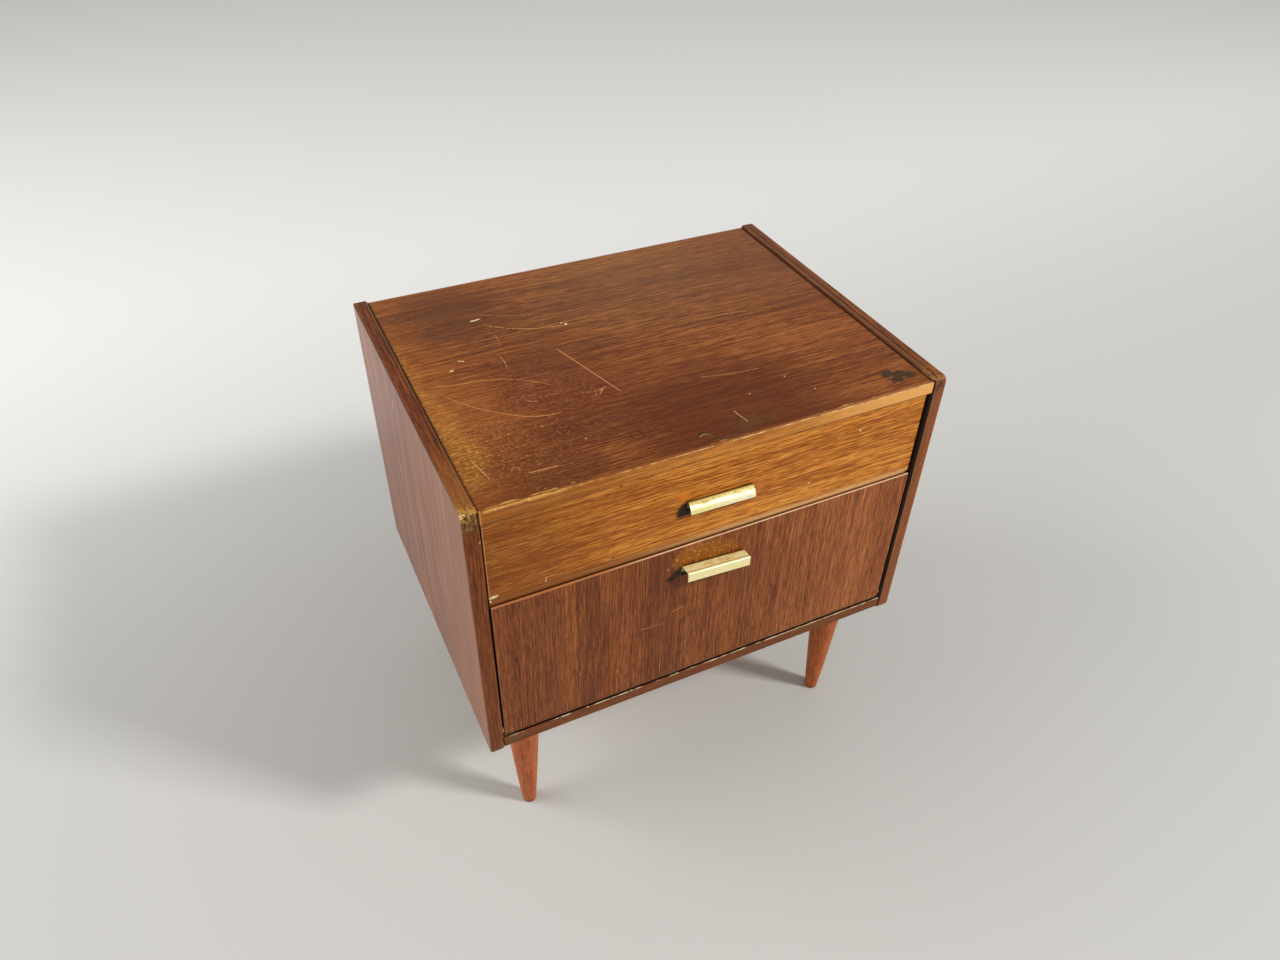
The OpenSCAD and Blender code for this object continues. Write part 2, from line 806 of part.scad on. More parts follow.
module bracket_screw_pair(gap) {
    margin = screw_head_d / 2 + screw_edge;
    for (rise = [margin - bracket_h / 2, bracket_h / 2 - margin])
        translate([bracket_x + stay_t - bracket_w + margin, flap_back_y + stay_t, rivet_z + rise])
            rotate([-90, 0, 0]) screw(stay_t + screw_bite, gap);
}

module stay_bracket_screws() { color("silver") bracket_screw_pair(0); }

module stay_rivet() {
    grip = 2 * stay_t + 3 * seat_gap;
    color("silver") translate([stay_x - seat_gap, rivet_y, rivet_z]) rotate([0, 90, 0]) {
        cylinder(d = rivet_d, h = grip);
        for (z = [-rivet_head_t, grip])
            translate([0, 0, z]) cylinder(d = rivet_head_d, h = rivet_head_t);
    }
}

module wall_pin_screw(gap) {
    translate([inner_w / 2 - over, wall_pin_y, wall_pin_z]) rotate([0, 90, 0])
        cylinder(d = screw_d + 2 * gap, h = screw_bite + over + gap);
}

module stay_wall_pin() {
    reach = stay_wall_gap + stay_t + seat_gap;
    color("silver") {
        wall_pin_screw(0);
        translate([inner_w / 2, wall_pin_y, wall_pin_z]) rotate([0, -90, 0]) {
            cylinder(d = wall_pin_base_d, h = wall_pin_base_t);
            cylinder(d = wall_pin_d, h = reach);
            translate([0, 0, reach]) cylinder(d = wall_pin_head_d, h = rivet_head_t);
        }
    }
}

// Catch

module catch_outline() {
    translate([-catch_w / 2, 0]) square([catch_w, catch_d]);
}

module catch_case() {
    color("saddlebrown") difference() {
        translate([0, catch_y, catch_top_z]) mirror([0, 0, 1]) {
            linear_extrude(catch_h) catch_outline();
            linear_extrude(catch_ear_t) translate([0, catch_d / 2])
                round_bar(-catch_screw_x, catch_screw_x, catch_ear);
        }
        catch_pole_plates(fit_gap);
        catch_screw_pair(fit_gap);
    }
}

module catch_pole_plates(gap) {
    middle_z = catch_top_z - catch_h / 2;
    for (z = [middle_z - pole_pitch / 2, middle_z + pole_pitch / 2])
        translate([-pole_w / 2 - gap, catch_y - pole_proud, z - pole_t / 2 - gap])
            cube([pole_w + 2 * gap, pole_proud + catch_d - pole_cover + gap, pole_t + 2 * gap]);
}

module catch_poles() { color("dimgray") catch_pole_plates(0); }

module catch_screw_pair(gap) {
    for (x = [-catch_screw_x, catch_screw_x])
        translate([x, catch_y + catch_d / 2, catch_top_z - catch_ear_t]) mirror([0, 0, 1])
            screw(catch_ear_t + catch_screw_bite, gap);
}

module catch_screws() { color("silver") catch_screw_pair(0); }

module catch_strike() {
    color("silver") difference() {
        translate([-catch_w / 2, flap_back_y, catch_top_z - catch_h])
            cube([catch_w, strike_t, catch_h]);
        strike_screw_pair(fit_gap);
    }
}

module strike_screw_pair(gap) {
    for (x = [-strike_screw_x, strike_screw_x])
        translate([x, flap_back_y + strike_t, catch_top_z - catch_h / 2]) rotate([-90, 0, 0])
            screw(strike_t + screw_bite, gap);
}

module catch_strike_screws() { color("silver") strike_screw_pair(0); }

// Pulls

// Outlines in Y and Z with the wood at zero, the front towards +X and the top at zero

module pull_flange() {
    translate([0, -pull_flange_h]) square([pull_t, pull_flange_h - pull_bend_r]);
}

module hood_outline() {
    sweep = hood_end - hood_start;
    pull_flange();
    translate([pull_bend_r, -pull_bend_r]) {
        ring_sector(pull_bend_r, pull_t, 90 - hood_start, 180);
        rotate(90 - hood_start) translate([pull_bend_r - hood_r, 0]) {
            ring_sector(hood_r, pull_t, -sweep, 0);
            rotate(-sweep) translate([hood_r - pull_t / 2, 0]) circle(d = pull_t);
        }
    }
}

module lip_outline() {
    pull_flange();
    translate([pull_bend_r, -pull_bend_r]) {
        ring_sector(pull_bend_r, pull_t, 90 + lip_rise, 180);
        rotate(lip_rise) {
            translate([0, pull_bend_r - pull_t]) square([ledge_l, pull_t]);
            translate([ledge_l, 0]) ring_sector(pull_bend_r, pull_t, 0, 90);
            translate([ledge_l + pull_bend_r - pull_t, -lip_l]) square([pull_t, lip_l]);
            translate([ledge_l + pull_bend_r - pull_t / 2, -lip_l]) circle(d = pull_t);
        }
    }
}

// Turns an outline to face the front and runs it along the pull
module pull() {
    difference() {
        translate([pull_l / 2, 0, 0]) rotate([90, 0, -90]) linear_extrude(pull_l) children();
        for (x = [-pull_screw_offset, pull_screw_offset])
            translate([x, over, -pull_screw_drop]) rotate([90, 0, 0])
                cylinder(d = screw_d + 2 * fit_gap, h = pull_t + 2 * over);
    }
}

module pull_screw_pair(gap) {
    for (x = [-pull_screw_offset, pull_screw_offset])
        translate([x, 0, -pull_screw_drop]) rotate([-90, 0, 0])
            cylinder(d = screw_d + 2 * gap, h = screw_bite + gap);
}

module pull_screws() {
    color("goldenrod") for (x = [-pull_screw_offset, pull_screw_offset])
        translate([x, -pull_t, -pull_screw_drop]) rotate([90, 0, 0])
            round_screw(pull_t + screw_bite);
}

module at_drawer_pull() {
    translate([0, drawer_y, drawer_z + drawer_front_h - drawer_pull_drop])
        rotate([0, drawer_pull_tilt, 0]) children();
}

module at_flap_pull() {
    translate([flap_pull_x, flap_y, flap_z + flap_h - flap_pull_drop])
        rotate([0, flap_pull_tilt, 0]) children();
}

module drawer_pull() { color("khaki") at_drawer_pull() pull() hood_outline(); }
module drawer_pull_screws() { at_drawer_pull() pull_screws(); }
module flap_pull() { color("khaki") at_flap_pull() pull() lip_outline(); }
module flap_pull_screws() { at_flap_pull() pull_screws(); }

side_panel_left();
side_panel_right();
side_front_lipping_left();
side_front_lipping_right();
side_top_lipping_left();
side_top_lipping_right();
top_board();
top_board_lipping();
bottom_board();
bottom_board_lipping();
shelf();
back_panel();
dowels();
leg_front_left();
leg_front_right();
leg_rear_left();
leg_rear_right();
leg_studs();
leg_nuts();
drawer_runner_left();
drawer_runner_right();
runner_screws();
drawer_stops();
flap_bushes();
stay_wall_pin();
catch_case();
catch_poles();
catch_screws();
drawer_front();
drawer_front_lipping();
drawer_side_left();
drawer_side_right();
drawer_back();
drawer_bottom();
drawer_pull();
drawer_pull_screws();
flap();
flap_pivot_pins();
flap_pull();
flap_pull_screws();
stay_bracket();
stay_bracket_screws();
stay_rivet();
catch_strike();
catch_strike_screws();
stay_arm();
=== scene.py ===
import math
from contextlib import contextmanager

import bmesh
import bpy
from mathutils import Matrix, Vector


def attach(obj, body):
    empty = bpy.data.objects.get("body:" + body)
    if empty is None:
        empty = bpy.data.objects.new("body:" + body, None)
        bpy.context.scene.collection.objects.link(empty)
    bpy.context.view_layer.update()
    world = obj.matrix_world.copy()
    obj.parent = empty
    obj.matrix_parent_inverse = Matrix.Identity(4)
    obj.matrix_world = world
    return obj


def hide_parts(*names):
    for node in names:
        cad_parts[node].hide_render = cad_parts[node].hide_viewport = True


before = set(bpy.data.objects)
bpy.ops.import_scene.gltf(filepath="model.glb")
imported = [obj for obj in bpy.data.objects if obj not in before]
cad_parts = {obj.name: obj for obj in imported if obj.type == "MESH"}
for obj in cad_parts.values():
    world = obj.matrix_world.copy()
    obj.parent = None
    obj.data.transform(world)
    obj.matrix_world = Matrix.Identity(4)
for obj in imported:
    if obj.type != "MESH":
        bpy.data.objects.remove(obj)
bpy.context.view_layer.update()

# Places and sizes of the cabinet in millimetres
MM = 0.001
FRONT, BACK = -192.7425, 207.2575
INNER, OUTER = 249, 265
LOW, TOP = 190, 540
BOARD_FRONT, BACK_FACE = FRONT + 0.7, BACK - 5
TOP_BOARD, BOTTOM_BOARD = (523, 537), (195, 210)
LIPPING, RABBET, CORNER = 3.5, 7, 6
EASE, ARRIS, END_CHAMFER, INNER_CHAMFER = 0.4, 0.6, 0.8, 2.2
DRAWER_FACE, DRAWER_BACK = FRONT + 4.8, FRONT + 20.8
FLAP_FACE, FLAP_BACK = FRONT + 2.3, FRONT + 18.3
FLAP_SIDE, FLAP_LOW, FLAP_TOP = 247, 213, 413.5
LEG_H, LEG_TOP, LEG_FOOT, LEG_SWELL, LEG_ROUND = 195, 21, 8.5, 0.8, 2.5
LEGS = {"leg_front_left": (-213, FRONT + 50), "leg_front_right": (213, FRONT + 50),
        "leg_rear_left": (-213, BACK - 50), "leg_rear_right": (213, BACK - 50)}
PULL_L, SHEET, FOLD, HOOD_R, LEDGE_L, LIP_L = 75, 1.2, 1.4, 16, 12, 8.5
DRAWER_PULL, FLAP_PULL = ((0, DRAWER_FACE, 471.5), 1.5), ((-3, FLAP_FACE, 383.5), 4)
PULL_SCREWS, SCREW_DROP = (-27, 27), 8.5
# The heads of the screws in the runners, the catch, its striking plate and the stay's bracket
RUNNER_FACE, RUNNER_Z = INNER - 8.4, 459
RUNNER_ENDS = DRAWER_BACK + 33, BACK_FACE - 49
RUNNER_SCREWS = RUNNER_ENDS[0], sum(RUNNER_ENDS) / 2, RUNNER_ENDS[1]
CATCH_EARS, STRIKE, STAY_Z = (FLAP_BACK + 10, 400.6), (FLAP_BACK + 1.2, 397.5), 327


def chips(face, *rows):
    """Chips out of the arrises of a face: each one's place and size"""
    return [((x, face + y, z), size) for x, y, z, size in rows]


TOP_CHIPS = chips(BOARD_FRONT, (-233, 0, 537.6, 1.9), (-226, 0, 537.3, 1.5),
                  (-201, 0, 537.6, 2.2), (-189, -0.5, 537.9, 1.6), (-170, 0, 537.6, 1.8),
                  (-152, 0, 537.5, 1.3), (6, 0, 537.8, 1.9), (119, -0.4, 537.7, 1.3))
CORNER_CHIPS = chips(FRONT, (-265, 2.6, 537.6, 3), (-262.6, 1.6, 538.4, 2),
                     (-265.4, 1.4, 533.6, 1.8), (-255.5, 1.5, 539, 1.2))
BAND_CHIPS = chips(FRONT, (-249.6, 0.3, 503, 1.7), (-264.8, 2, 454, 1.8))
LOW_CORNER_CHIPS = chips(FRONT, (-265.2, 1, 192.8, 2.1), (-250, 0.2, 191.4, 1.6))
DRAWER_CHIPS = chips(DRAWER_FACE, (-246.4, -0.9, 425, 3.2), (-242, -1.1, 425.6, 2.6),
                     (-247, -0.6, 420.6, 2.2), (-238.4, -0.8, 426.6, 1.4))
BOTTOM_CHIPS = chips(BOARD_FRONT, (-150, 0, 210.5, 1.4), (-96, 0, 210.6, 1.6),
                     (-38, 0, 210.6, 1.7), (12, 0, 210.4, 1.3), (131, 0, 210.6, 1.7))


# ---------------------------------------------------------------- finishes

def tone(red, green, blue):
    """A swatch in screen values, as the light values that a material takes"""
    return tuple(round(((c / 255 + 0.055) / 1.055) ** 2.4, 4) for c in (red, green, blue))


class Value:
    """A socket of a finish, whose sums and products add Math nodes"""

    def __init__(self, finish, socket):
        self.finish, self.socket = finish, socket

    def math(self, operation, *others):
        return self.finish.node("Math", {"operation": operation}, self, *others)

    def __add__(self, other):
        return self.math("ADD", other)

    def __sub__(self, other):
        return self.math("SUBTRACT", other)

    def __rsub__(self, other):
        return self.finish.node("Math", {"operation": "SUBTRACT"}, other, self)

    def __mul__(self, other):
        return self.math("MULTIPLY", other)

    def __truediv__(self, other):
        return self.math("DIVIDE", other)

    def __abs__(self):
        return self.math("ABSOLUTE")

    __radd__, __rmul__ = __add__, __mul__


class Finish:
    """A procedural material. Lengths in it are millimetres."""

    def __init__(self, name, along="x"):
        self.along = along
        self.material = bpy.data.materials.new(name)
        self.material.use_nodes = True
        self.tree = self.material.node_tree
        self.tree.nodes.clear()
        place = self.node("TexCoord", {}, out=3)
        self.at = self.node("VectorMath", {"operation": "SCALE"}, place, Scale=1000)
        split = self.node("SeparateXYZ", {}, self.at).socket.node
        self.x, self.y, self.z = (Value(self, out) for out in split.outputs)

    def node(self, kind, settings, *values, out=0, **named):
        """Adds a node: its type, its settings, then the values or links of its sockets"""
        made = self.tree.nodes.new("ShaderNode" + kind)
        for key, setting in settings.items():
            if key == "stops":
                stops = made.color_ramp.elements
                stops.remove(stops[1])
                stops[0].position, stops[0].color = setting[0][0], (*setting[0][1], 1)
                for place, colour in setting[1:]:
                    stops.new(place).color = (*colour, 1)
            elif key == "points":
                curve = made.mapping.curves[0].points
                curve[0].location, curve[1].location = setting[0], setting[-1]
                for place in setting[1:-1]:
                    curve.new(*place)
                made.mapping.update()
            else:
                setattr(made, key, setting)
        sockets = [*zip(made.inputs, values), *((made.inputs[k], v) for k, v in named.items())]
        for socket, value in sockets:
            if isinstance(value, Value):
                self.tree.links.new(value.socket, socket)
            elif value is not None:
                socket.default_value = (*value, 1) if socket.type == "RGBA" else value
        return Value(self, made.outputs[out]) if made.outputs else None

    def mix(self, amount, colour, other, blend="MIX"):
        """One colour and then another, as far as the amount says"""
        return self.node("Mix", {"data_type": "RGBA", "blend_type": blend}, amount,
                         None, None, None, None, None, colour, other, out=2)

    def ramp(self, value, *stops):
        """Colours between stops, each a place and its colour"""
        return self.node("ValToRGB", {"stops": stops}, value)

    def tint(self, amount, *swatch):
        """Lays a swatch, or a colour, over the finish as far as the amount says"""
        colour = tone(*swatch) if len(swatch) == 3 else swatch[0]
        self.colour = self.mix(amount, self.colour, colour)

    def tinge(self, amount, *factors):
        """Multiplies the finish's colour"""
        self.colour = self.mix(amount, self.colour, factors, "MULTIPLY")

    def step(self, value, low, high):
        """0 up to low, 1 from high on, smooth in between; low may be the greater"""
        return self.node("MapRange", {"interpolation_type": "SMOOTHSTEP"}, value, low, high)

    def noise(self, length, width, detail=2, shift=0, along=None, at=None):
        """Noise whose marks have that length along the grain and that width across it"""
        size = [1 / width] * 3
        size["xyz".index(along or self.along)] = 1 / length
        place = self.node("VectorMath", {"operation": "MULTIPLY_ADD"}, at or self.at, size,
                          (shift, shift * 1.7, shift * 2.3))
        return self.node("TexNoise", {}, Vector=place, Scale=1, Detail=detail, Roughness=0.55)

    def marks(self, length, width, low, high, detail=2, shift=0):
        """Separate marks of such noise"""
        return self.step(self.noise(length, width, detail, shift), low, high)

    def hairlines(self, axis, angle, length, width, amount, shift):
        """Fine stray scratches, turned about an axis away from the grain"""
        turned = self.node("VectorRotate", {"rotation_type": axis + "_AXIS"}, self.at,
                           Angle=math.radians(angle))
        lines = self.noise(length, width, 1, shift, at=turned)
        return self.step(lines, 0.72 - amount, 0.76 - amount)

    def most(self, *values):
        """The greatest of some values"""
        result = values[0]
        for value in values[1:]:
            result = result.math("MAXIMUM", value)
        return result

    def far(self, gaps):
        """The distance over some axes"""
        return sum((gap * gap for gap in gaps[1:]), gaps[0] * gaps[0]).math("SQRT")

    def off(self, **places):
        """Distance from a plane, a line or a point, given by its places on the axes"""
        gaps = [abs(getattr(self, axis) - place) for axis, place in places.items()]
        return gaps[0] if len(gaps) == 1 else self.far(gaps)

    def patch(self, sway, outer, inner, **places):
        """A soft patch round a place: nothing beyond outer, full within inner"""
        return self.step(self.off(**places) + sway, outer, inner)

    def spots(self, axes, rows, ragged, softness=0.5):
        """Spots over axes: a row has a spot's places on them and then its radii"""
        found = []
        for row in rows:
            places, radii = row[:len(axes)], row[len(axes):]
            gaps = [(getattr(self, a) - p) / r for a, p, r in zip(axes, places, radii)]
            found.append(self.step(self.far(gaps) + ragged, 1, 1 - softness))
        return self.most(*found)

    def raw(self, chipped, ragged):
        """The wood laid bare where chips are out"""
        return self.spots("xyz", [(*place, size * 1.4, size, size) for place, size in chipped],
                          (ragged - 0.5) * 0.9, 0.3)

    def line(self, axes, width, broken, *points):
        """A scratch through points over two axes, along the first, broken or whole (None)"""
        along, across = (getattr(self, axis) for axis in axes)
        a, b = points[0][0], points[-1][0]
        low = min(v for u, v in points) - 1
        high = max(v for u, v in points) + 1
        wide = width * math.hypot(1, (points[-1][1] - points[0][1]) / (b - a))
        place = (along - a) / (b - a)
        curve = [((u - a) / (b - a), (v - low) / (high - low)) for u, v in points]
        drawn = self.node("FloatCurve", {"points": curve}, 1, place)
        off = abs(across - (drawn * (high - low) + low))
        ends = self.step(abs(place - 0.5), 0.5, 0.42)
        mark = self.step(off, wide, wide * 0.3) * ends
        return mark if broken is None else mark * broken

    def lines(self, *rows):
        """Several such scratches"""
        return self.most(*(self.line(*row) for row in rows))

    def close(self, roughness, relief=None, depth=0.05, coat=0, metallic=0, specular=0.5):
        """Joins the finish to its shader. Relief is 0 to 1 and depth its height."""
        shader = self.node("BsdfPrincipled", {}, **{
            "Base Color": self.colour, "Roughness": roughness, "Metallic": metallic,
            "Specular IOR Level": specular, "Coat Weight": coat,
            "Coat Roughness": 0.4 if coat else 0.25})
        if relief is not None:
            bump = self.node("Bump", {}, Strength=1, Distance=depth * MM, Height=relief)
            self.tree.links.new(bump.socket, shader.socket.node.inputs["Normal"])
        self.node("OutputMaterial", {}, shader)
        return self.material


class Wood(Finish):
    """Wood with its grain along one axis, in a dark, a middle and a light swatch"""

    def __init__(self, name, along, swatches, shift, band=26, streak=1.9, length=20, pores=0.5,
                 spread=0.1, lines=0.35):
        super().__init__(name, along)
        across = {"x": (0, 1, 1), "y": (1, 0, 1), "z": (1, 1, 0)}[along]
        sway = (self.noise(420, 90, 1, shift + 9) - 0.5) * 14
        push = self.node("VectorMath", {"operation": "SCALE"}, across, Scale=sway)
        self.at = self.node("VectorMath", {}, self.at, push)
        bands = self.noise(900, band, 2, shift)
        self.streaks = self.noise(110, streak, 2, shift + 3)
        self.fibres = self.noise(length, 1, 2, shift + 5)
        self.blotch = self.noise(120, 70, 2, shift + 7)
        figure = bands * 0.2 + self.streaks * 0.38 + self.fibres * 0.42
        dark, middle, light = (tone(*swatch) for swatch in swatches)
        self.colour = self.ramp(figure, (0.5 - spread, dark), (0.5, middle), (0.5 + spread, light))
        self.tint(self.marks(38, 1.7, 0.58, 0.7, 1, shift + 15) * lines, dark)
        self.tint(self.marks(30, 1.5, 0.6, 0.72, 1, shift + 17) * lines, light)
        pores = self.marks(13, 0.8, 0.6, 0.74, 0, shift + 11) * pores
        self.tint(pores, [c * 0.35 for c in dark])
        self.relief = self.fibres * 0.5 + (1 - pores) * 0.5

    def lacquer(self, marks=None, rough=0.4, specular=0.18, **how):
        """Closes it as satin lacquered: it shines unevenly, and marks are matt and sunk"""
        roughness = rough + (self.streaks - 0.5) * 0.22 + (self.blotch - 0.5) * 0.16
        relief = self.relief
        if marks is not None:
            roughness = roughness + marks * 0.2
            relief = relief - marks * 1.6
        return self.close(roughness, relief, specular=specular, **how)


def make_top_veneer():
    """The worn top: golden along its left, scratched, with stains at the right"""
    w = Wood("top_veneer", "x", ((84, 36, 6), (126, 66, 20), (168, 100, 44)), 3,
             spread=0.068, lines=0.55)
    left, front = w.x + INNER, w.y - BOARD_FRONT
    ragged, cloud = w.noise(13, 3.5, 3, 31), w.noise(70, 34, 3, 41)
    flecks = w.marks(5, 1.3, 0.53, 0.61, 2, 45)
    # Browner, greyer back right, painted as the lacquer's sheen; darker back left, reddish middle
    w.tint(w.step(front, 120, 340) * w.step(left, 40, 300) * 0.42, 120, 84, 54)
    w.tint(w.patch(cloud * 70, 150, 60, x=-180, y=150) * 0.7, 88, 48, 24)
    w.tint(w.patch(cloud * 90, 180, 80, x=-120, y=-40) * 0.7, 90, 36, 14)
    w.tint(w.patch(cloud * 80, 220, 90, x=30, y=-165) * 0.8, 84, 33, 7)
    w.tint(w.step(w.x + cloud * 90, 130, 250) * 0.3, 104, 50, 20)
    # Orange-brown towards the left, worn to golden flecks beside the groove
    wide = w.step(front, 400, 60) * 70 + 20
    zone = w.step(left - (cloud - 0.5) * 90 - wide, 30, -30)
    w.tint(zone * (w.streaks - 0.12) * (0.8 - w.step(w.y, 70, 180) * 0.45), 158, 88, 26)
    reach = w.step(w.y, 90, -120) * 24 + 7 + (ragged - 0.5) * 36 + (cloud - 0.5) * 34
    gold = w.step(left - reach, 6, -8) * w.step(w.y, 170, 40) * w.step(w.y, -176, -146)
    w.tint(gold * (0.1 + flecks * 0.66), 190, 136, 50)
    w.tint(w.patch(cloud * 80, 125, 45, x=-210, y=-125) * flecks * 0.3, 184, 120, 50)
    w.tint(w.patch(cloud * 70, 135, 60, x=-165, y=-150) * 0.5, 90, 40, 12)
    w.tint(w.patch(cloud * 50, 110, 35, x=-180, y=-186) * 0.6, 88, 40, 12)
    w.tint(w.marks(3.4, 1.2, 0.67, 0.71, 1, 48)
           * w.patch(cloud * 90, 140, 60, x=-220, y=-110) * 0.6, 226, 178, 100)
    w.tint(w.marks(6, 1.6, 0.58, 0.66, 2, 47) * w.step(left + front * 0.3, 260, 60) * 0.4,
           172, 108, 52)
    # Dark beside the side panels, dirt and painted shade in the grooves, and a paler back edge
    w.tint(w.patch(ragged * 3, 4.6, 1.6, x=-INNER) * 0.85, 40, 28, 12)
    w.tint(w.patch(ragged * 2, 4.4, 1.2, x=INNER) * 0.85, 36, 20, 12)
    w.tint(w.patch(ragged * 5, 8, 3, y=BACK) * 0.45, 160, 98, 46)
    # Stains
    blot = (w.noise(9, 9, 3, 51) - 0.5) * 2.2
    w.tint(w.spots("xy", [(213, -159, 12, 8), (216, -171, 10, 8), (232, -168, 12, 8),
                          (223, -164, 15, 11)], blot * 0.8, 0.6) * 0.85, 30, 22, 10)
    w.tint(w.spots("xy", [(222, -165, 26, 16)], blot, 0.9) * 0.35, 70, 56, 30)
    w.tint(w.line("xy", 1.1, None, (-21, -175), (-13, -172), (-8, -177), (-5, -185), (0, -191))
           * 0.5, 196, 140, 84)
    w.tint(w.line("xy", 1.5, None, (-22, -172), (-14, -169), (-9, -174), (-6, -182),
                  (-1.5, -190)) * 0.9, 44, 30, 14)
    w.tint(w.spots("xy", [(-12, -174, 13, 5), (3, -186, 15, 5), (40, -172, 34, 16)], blot, 0.8)
           * 0.4, 86, 68, 30)
    w.tint(w.step(abs(w.off(x=-74, y=-147) - 6.2), 1.5, 0.4) * 0.6, 58, 28, 14)
    w.tint(w.spots("xy", [(72, -143, 4, 1.6), (-176, -45, 2.5, 2), (157, -156, 3, 1.5),
                          (-66, -190, 3, 1.4), (36, -118, 9, 3)], blot, 0.8) * 0.5, 60, 30, 14)
    # Scratches, drawn one by one, and fine hairlines in between
    broken = w.marks(3, 3, 0.36, 0.5, 1, 61)
    deep = w.lines(
        ("xy", 0.75, broken, (-145, 110), (-127, 94), (-99, 79), (-74, 73), (-58, 71)),
        ("xy", 0.65, None, (-88, 31), (-71, -26), (-56, -77)),
        ("xy", 0.75, broken, (-85, -69), (-75, -63), (-66, -58)),
        ("xy", 0.5, broken, (-82, -72), (-74, -64), (-69, -57)),
        ("yx", 0.5, broken, (12, -149), (30, -147), (44, -150)),
        ("xy", 0.75, None, (-190, -157.5), (-172, -158), (-159, -159)),
        ("yx", 0.7, broken, (-153, -224), (-134, -228), (-116, -232)),
        ("xy", 0.7, broken, (-151, -50), (-143, -54), (-136, -57)),
        ("yx", 0.75, broken, (-172, 35.5), (-160, 33), (-148, 31)))
    faint = w.lines(
        ("xy", 0.75, None, (-228, 6), (-221, -13), (-208, -32), (-186, -55), (-152, -78),
         (-123, -82)),
        ("xy", 0.8, broken, (-234, 13), (-208, 6), (-179, 2), (-153, -7), (-130, -22),
         (-113, -40)),
        ("xy", 0.7, broken, (-95, -57), (-82, -62), (-68, -57)),
        ("xy", 0.6, broken, (-143, 132), (-118, 118), (-84, 107)),
        ("yx", 0.6, broken, (58, -141), (72, -138), (90, -144)),
        ("xy", 0.8, broken, (150, -26), (163, -28), (177, -29)),
        ("xy", 0.7, broken, (26, -82), (58, -90), (96, -94)),
        ("xy", 0.7, broken, (60, 22), (104, 20), (150, 14)))
    hairs = w.most(w.hairlines("Z", 22, 14, 0.8, 0.055, 71),
                   w.hairlines("Z", -34, 11, 0.8, 0.05, 73),
                   w.hairlines("Z", 74, 8, 0.8, 0.04, 75))
    hairs = hairs * w.patch(cloud * 150, 240, 90, x=-150, y=-60)
    w.tint(w.most(faint * 0.76, hairs * 0.45), 200, 132, 74)
    w.tint(deep * 0.85, 212, 156, 92)
    nicks = w.spots("xy", [
        (-151, 120, 5, 2), (-145, 121, 4, 1.4), (-187, 45, 2.6, 1.3), (-190, 47, 2, 1),
        (-203, 32, 3, 1.3), (-58, 72, 2.4, 2), (-62, 76, 1.2, 1.6), (-121, -131, 1.4, 0.9),
        (111, -118, 1.5, 0.9), (-152, -96, 1, 0.8), (61, -131, 1.3, 0.9),
        (128, -150, 1.3, 0.9)], blot * 0.5)
    w.tint(nicks * 0.9, 238, 205, 150)
    rim = w.step(front - (ragged - 0.5) * 18 - w.step(w.x, -120, -170) * 1.2, 4.4, 3.2)
    w.tint(rim * w.step(w.noise(26, 20, 2, 49) + w.step(w.x, -100, -200) * 0.16, 0.52, 0.6)
           * 0.8, 198, 146, 70)
    return w.lacquer(w.most(deep, nicks, hairs * 0.3), 0.38, depth=0.04)


def make_top_lipping():
    """The golden lipping of the top board, pale along its chipped arris"""
    w = Wood("light_lipping_top", "x", ((152, 82, 22), (186, 112, 36), (214, 144, 62)), 13,
             band=14, streak=2)
    ragged, rubbed = w.noise(9, 3, 3, 33), w.noise(24, 30, 3, 35)
    # Darker to the left, paler to the right: partly its own tone, partly painted light falling
    # from the right
    w.tint(w.step(w.x, 20, -INNER) * 0.7, 140, 76, 24)
    w.tint(w.step(w.x, 20, INNER) * 0.75, 250, 184, 104)
    w.tint(w.step(w.z, 536.2, 536.8) * 0.8, 122, 66, 26)
    reach = 0.6 + w.step(w.x, -90, -190) * 1.9
    rough = 1.6 + w.step(w.x, -60, -160) * 3.4
    upper = w.step(w.off(y=BOARD_FRONT, z=537) - (ragged - 0.5) * rough, reach, reach * 0.4)
    w.tint(upper * w.step(rubbed + w.step(w.x, -40, 60) * 0.16, 0.34, 0.5) * 0.9,
           w.mix(w.step(w.x, -140, 0), tone(206, 150, 74), tone(236, 202, 150)))
    # A dark line painted along the lower edge as the shade of the gap above the drawer
    w.tint(w.step(w.z, 525, 523.4) * (0.35 + w.step(w.x, -60, 120) * 0.3), 80, 42, 16)
    end = w.off(x=-INNER)
    w.tint(w.step(end, 2.6, 2) * 0.7, 206, 150, 84)
    w.tint(w.step(end, 1.3, 0.8) * 0.85, 60, 38, 20)
    bare = w.raw(TOP_CHIPS, ragged)
    w.tint(bare * 0.8, 222, 176, 104)
    return w.lacquer(bare, 0.42)


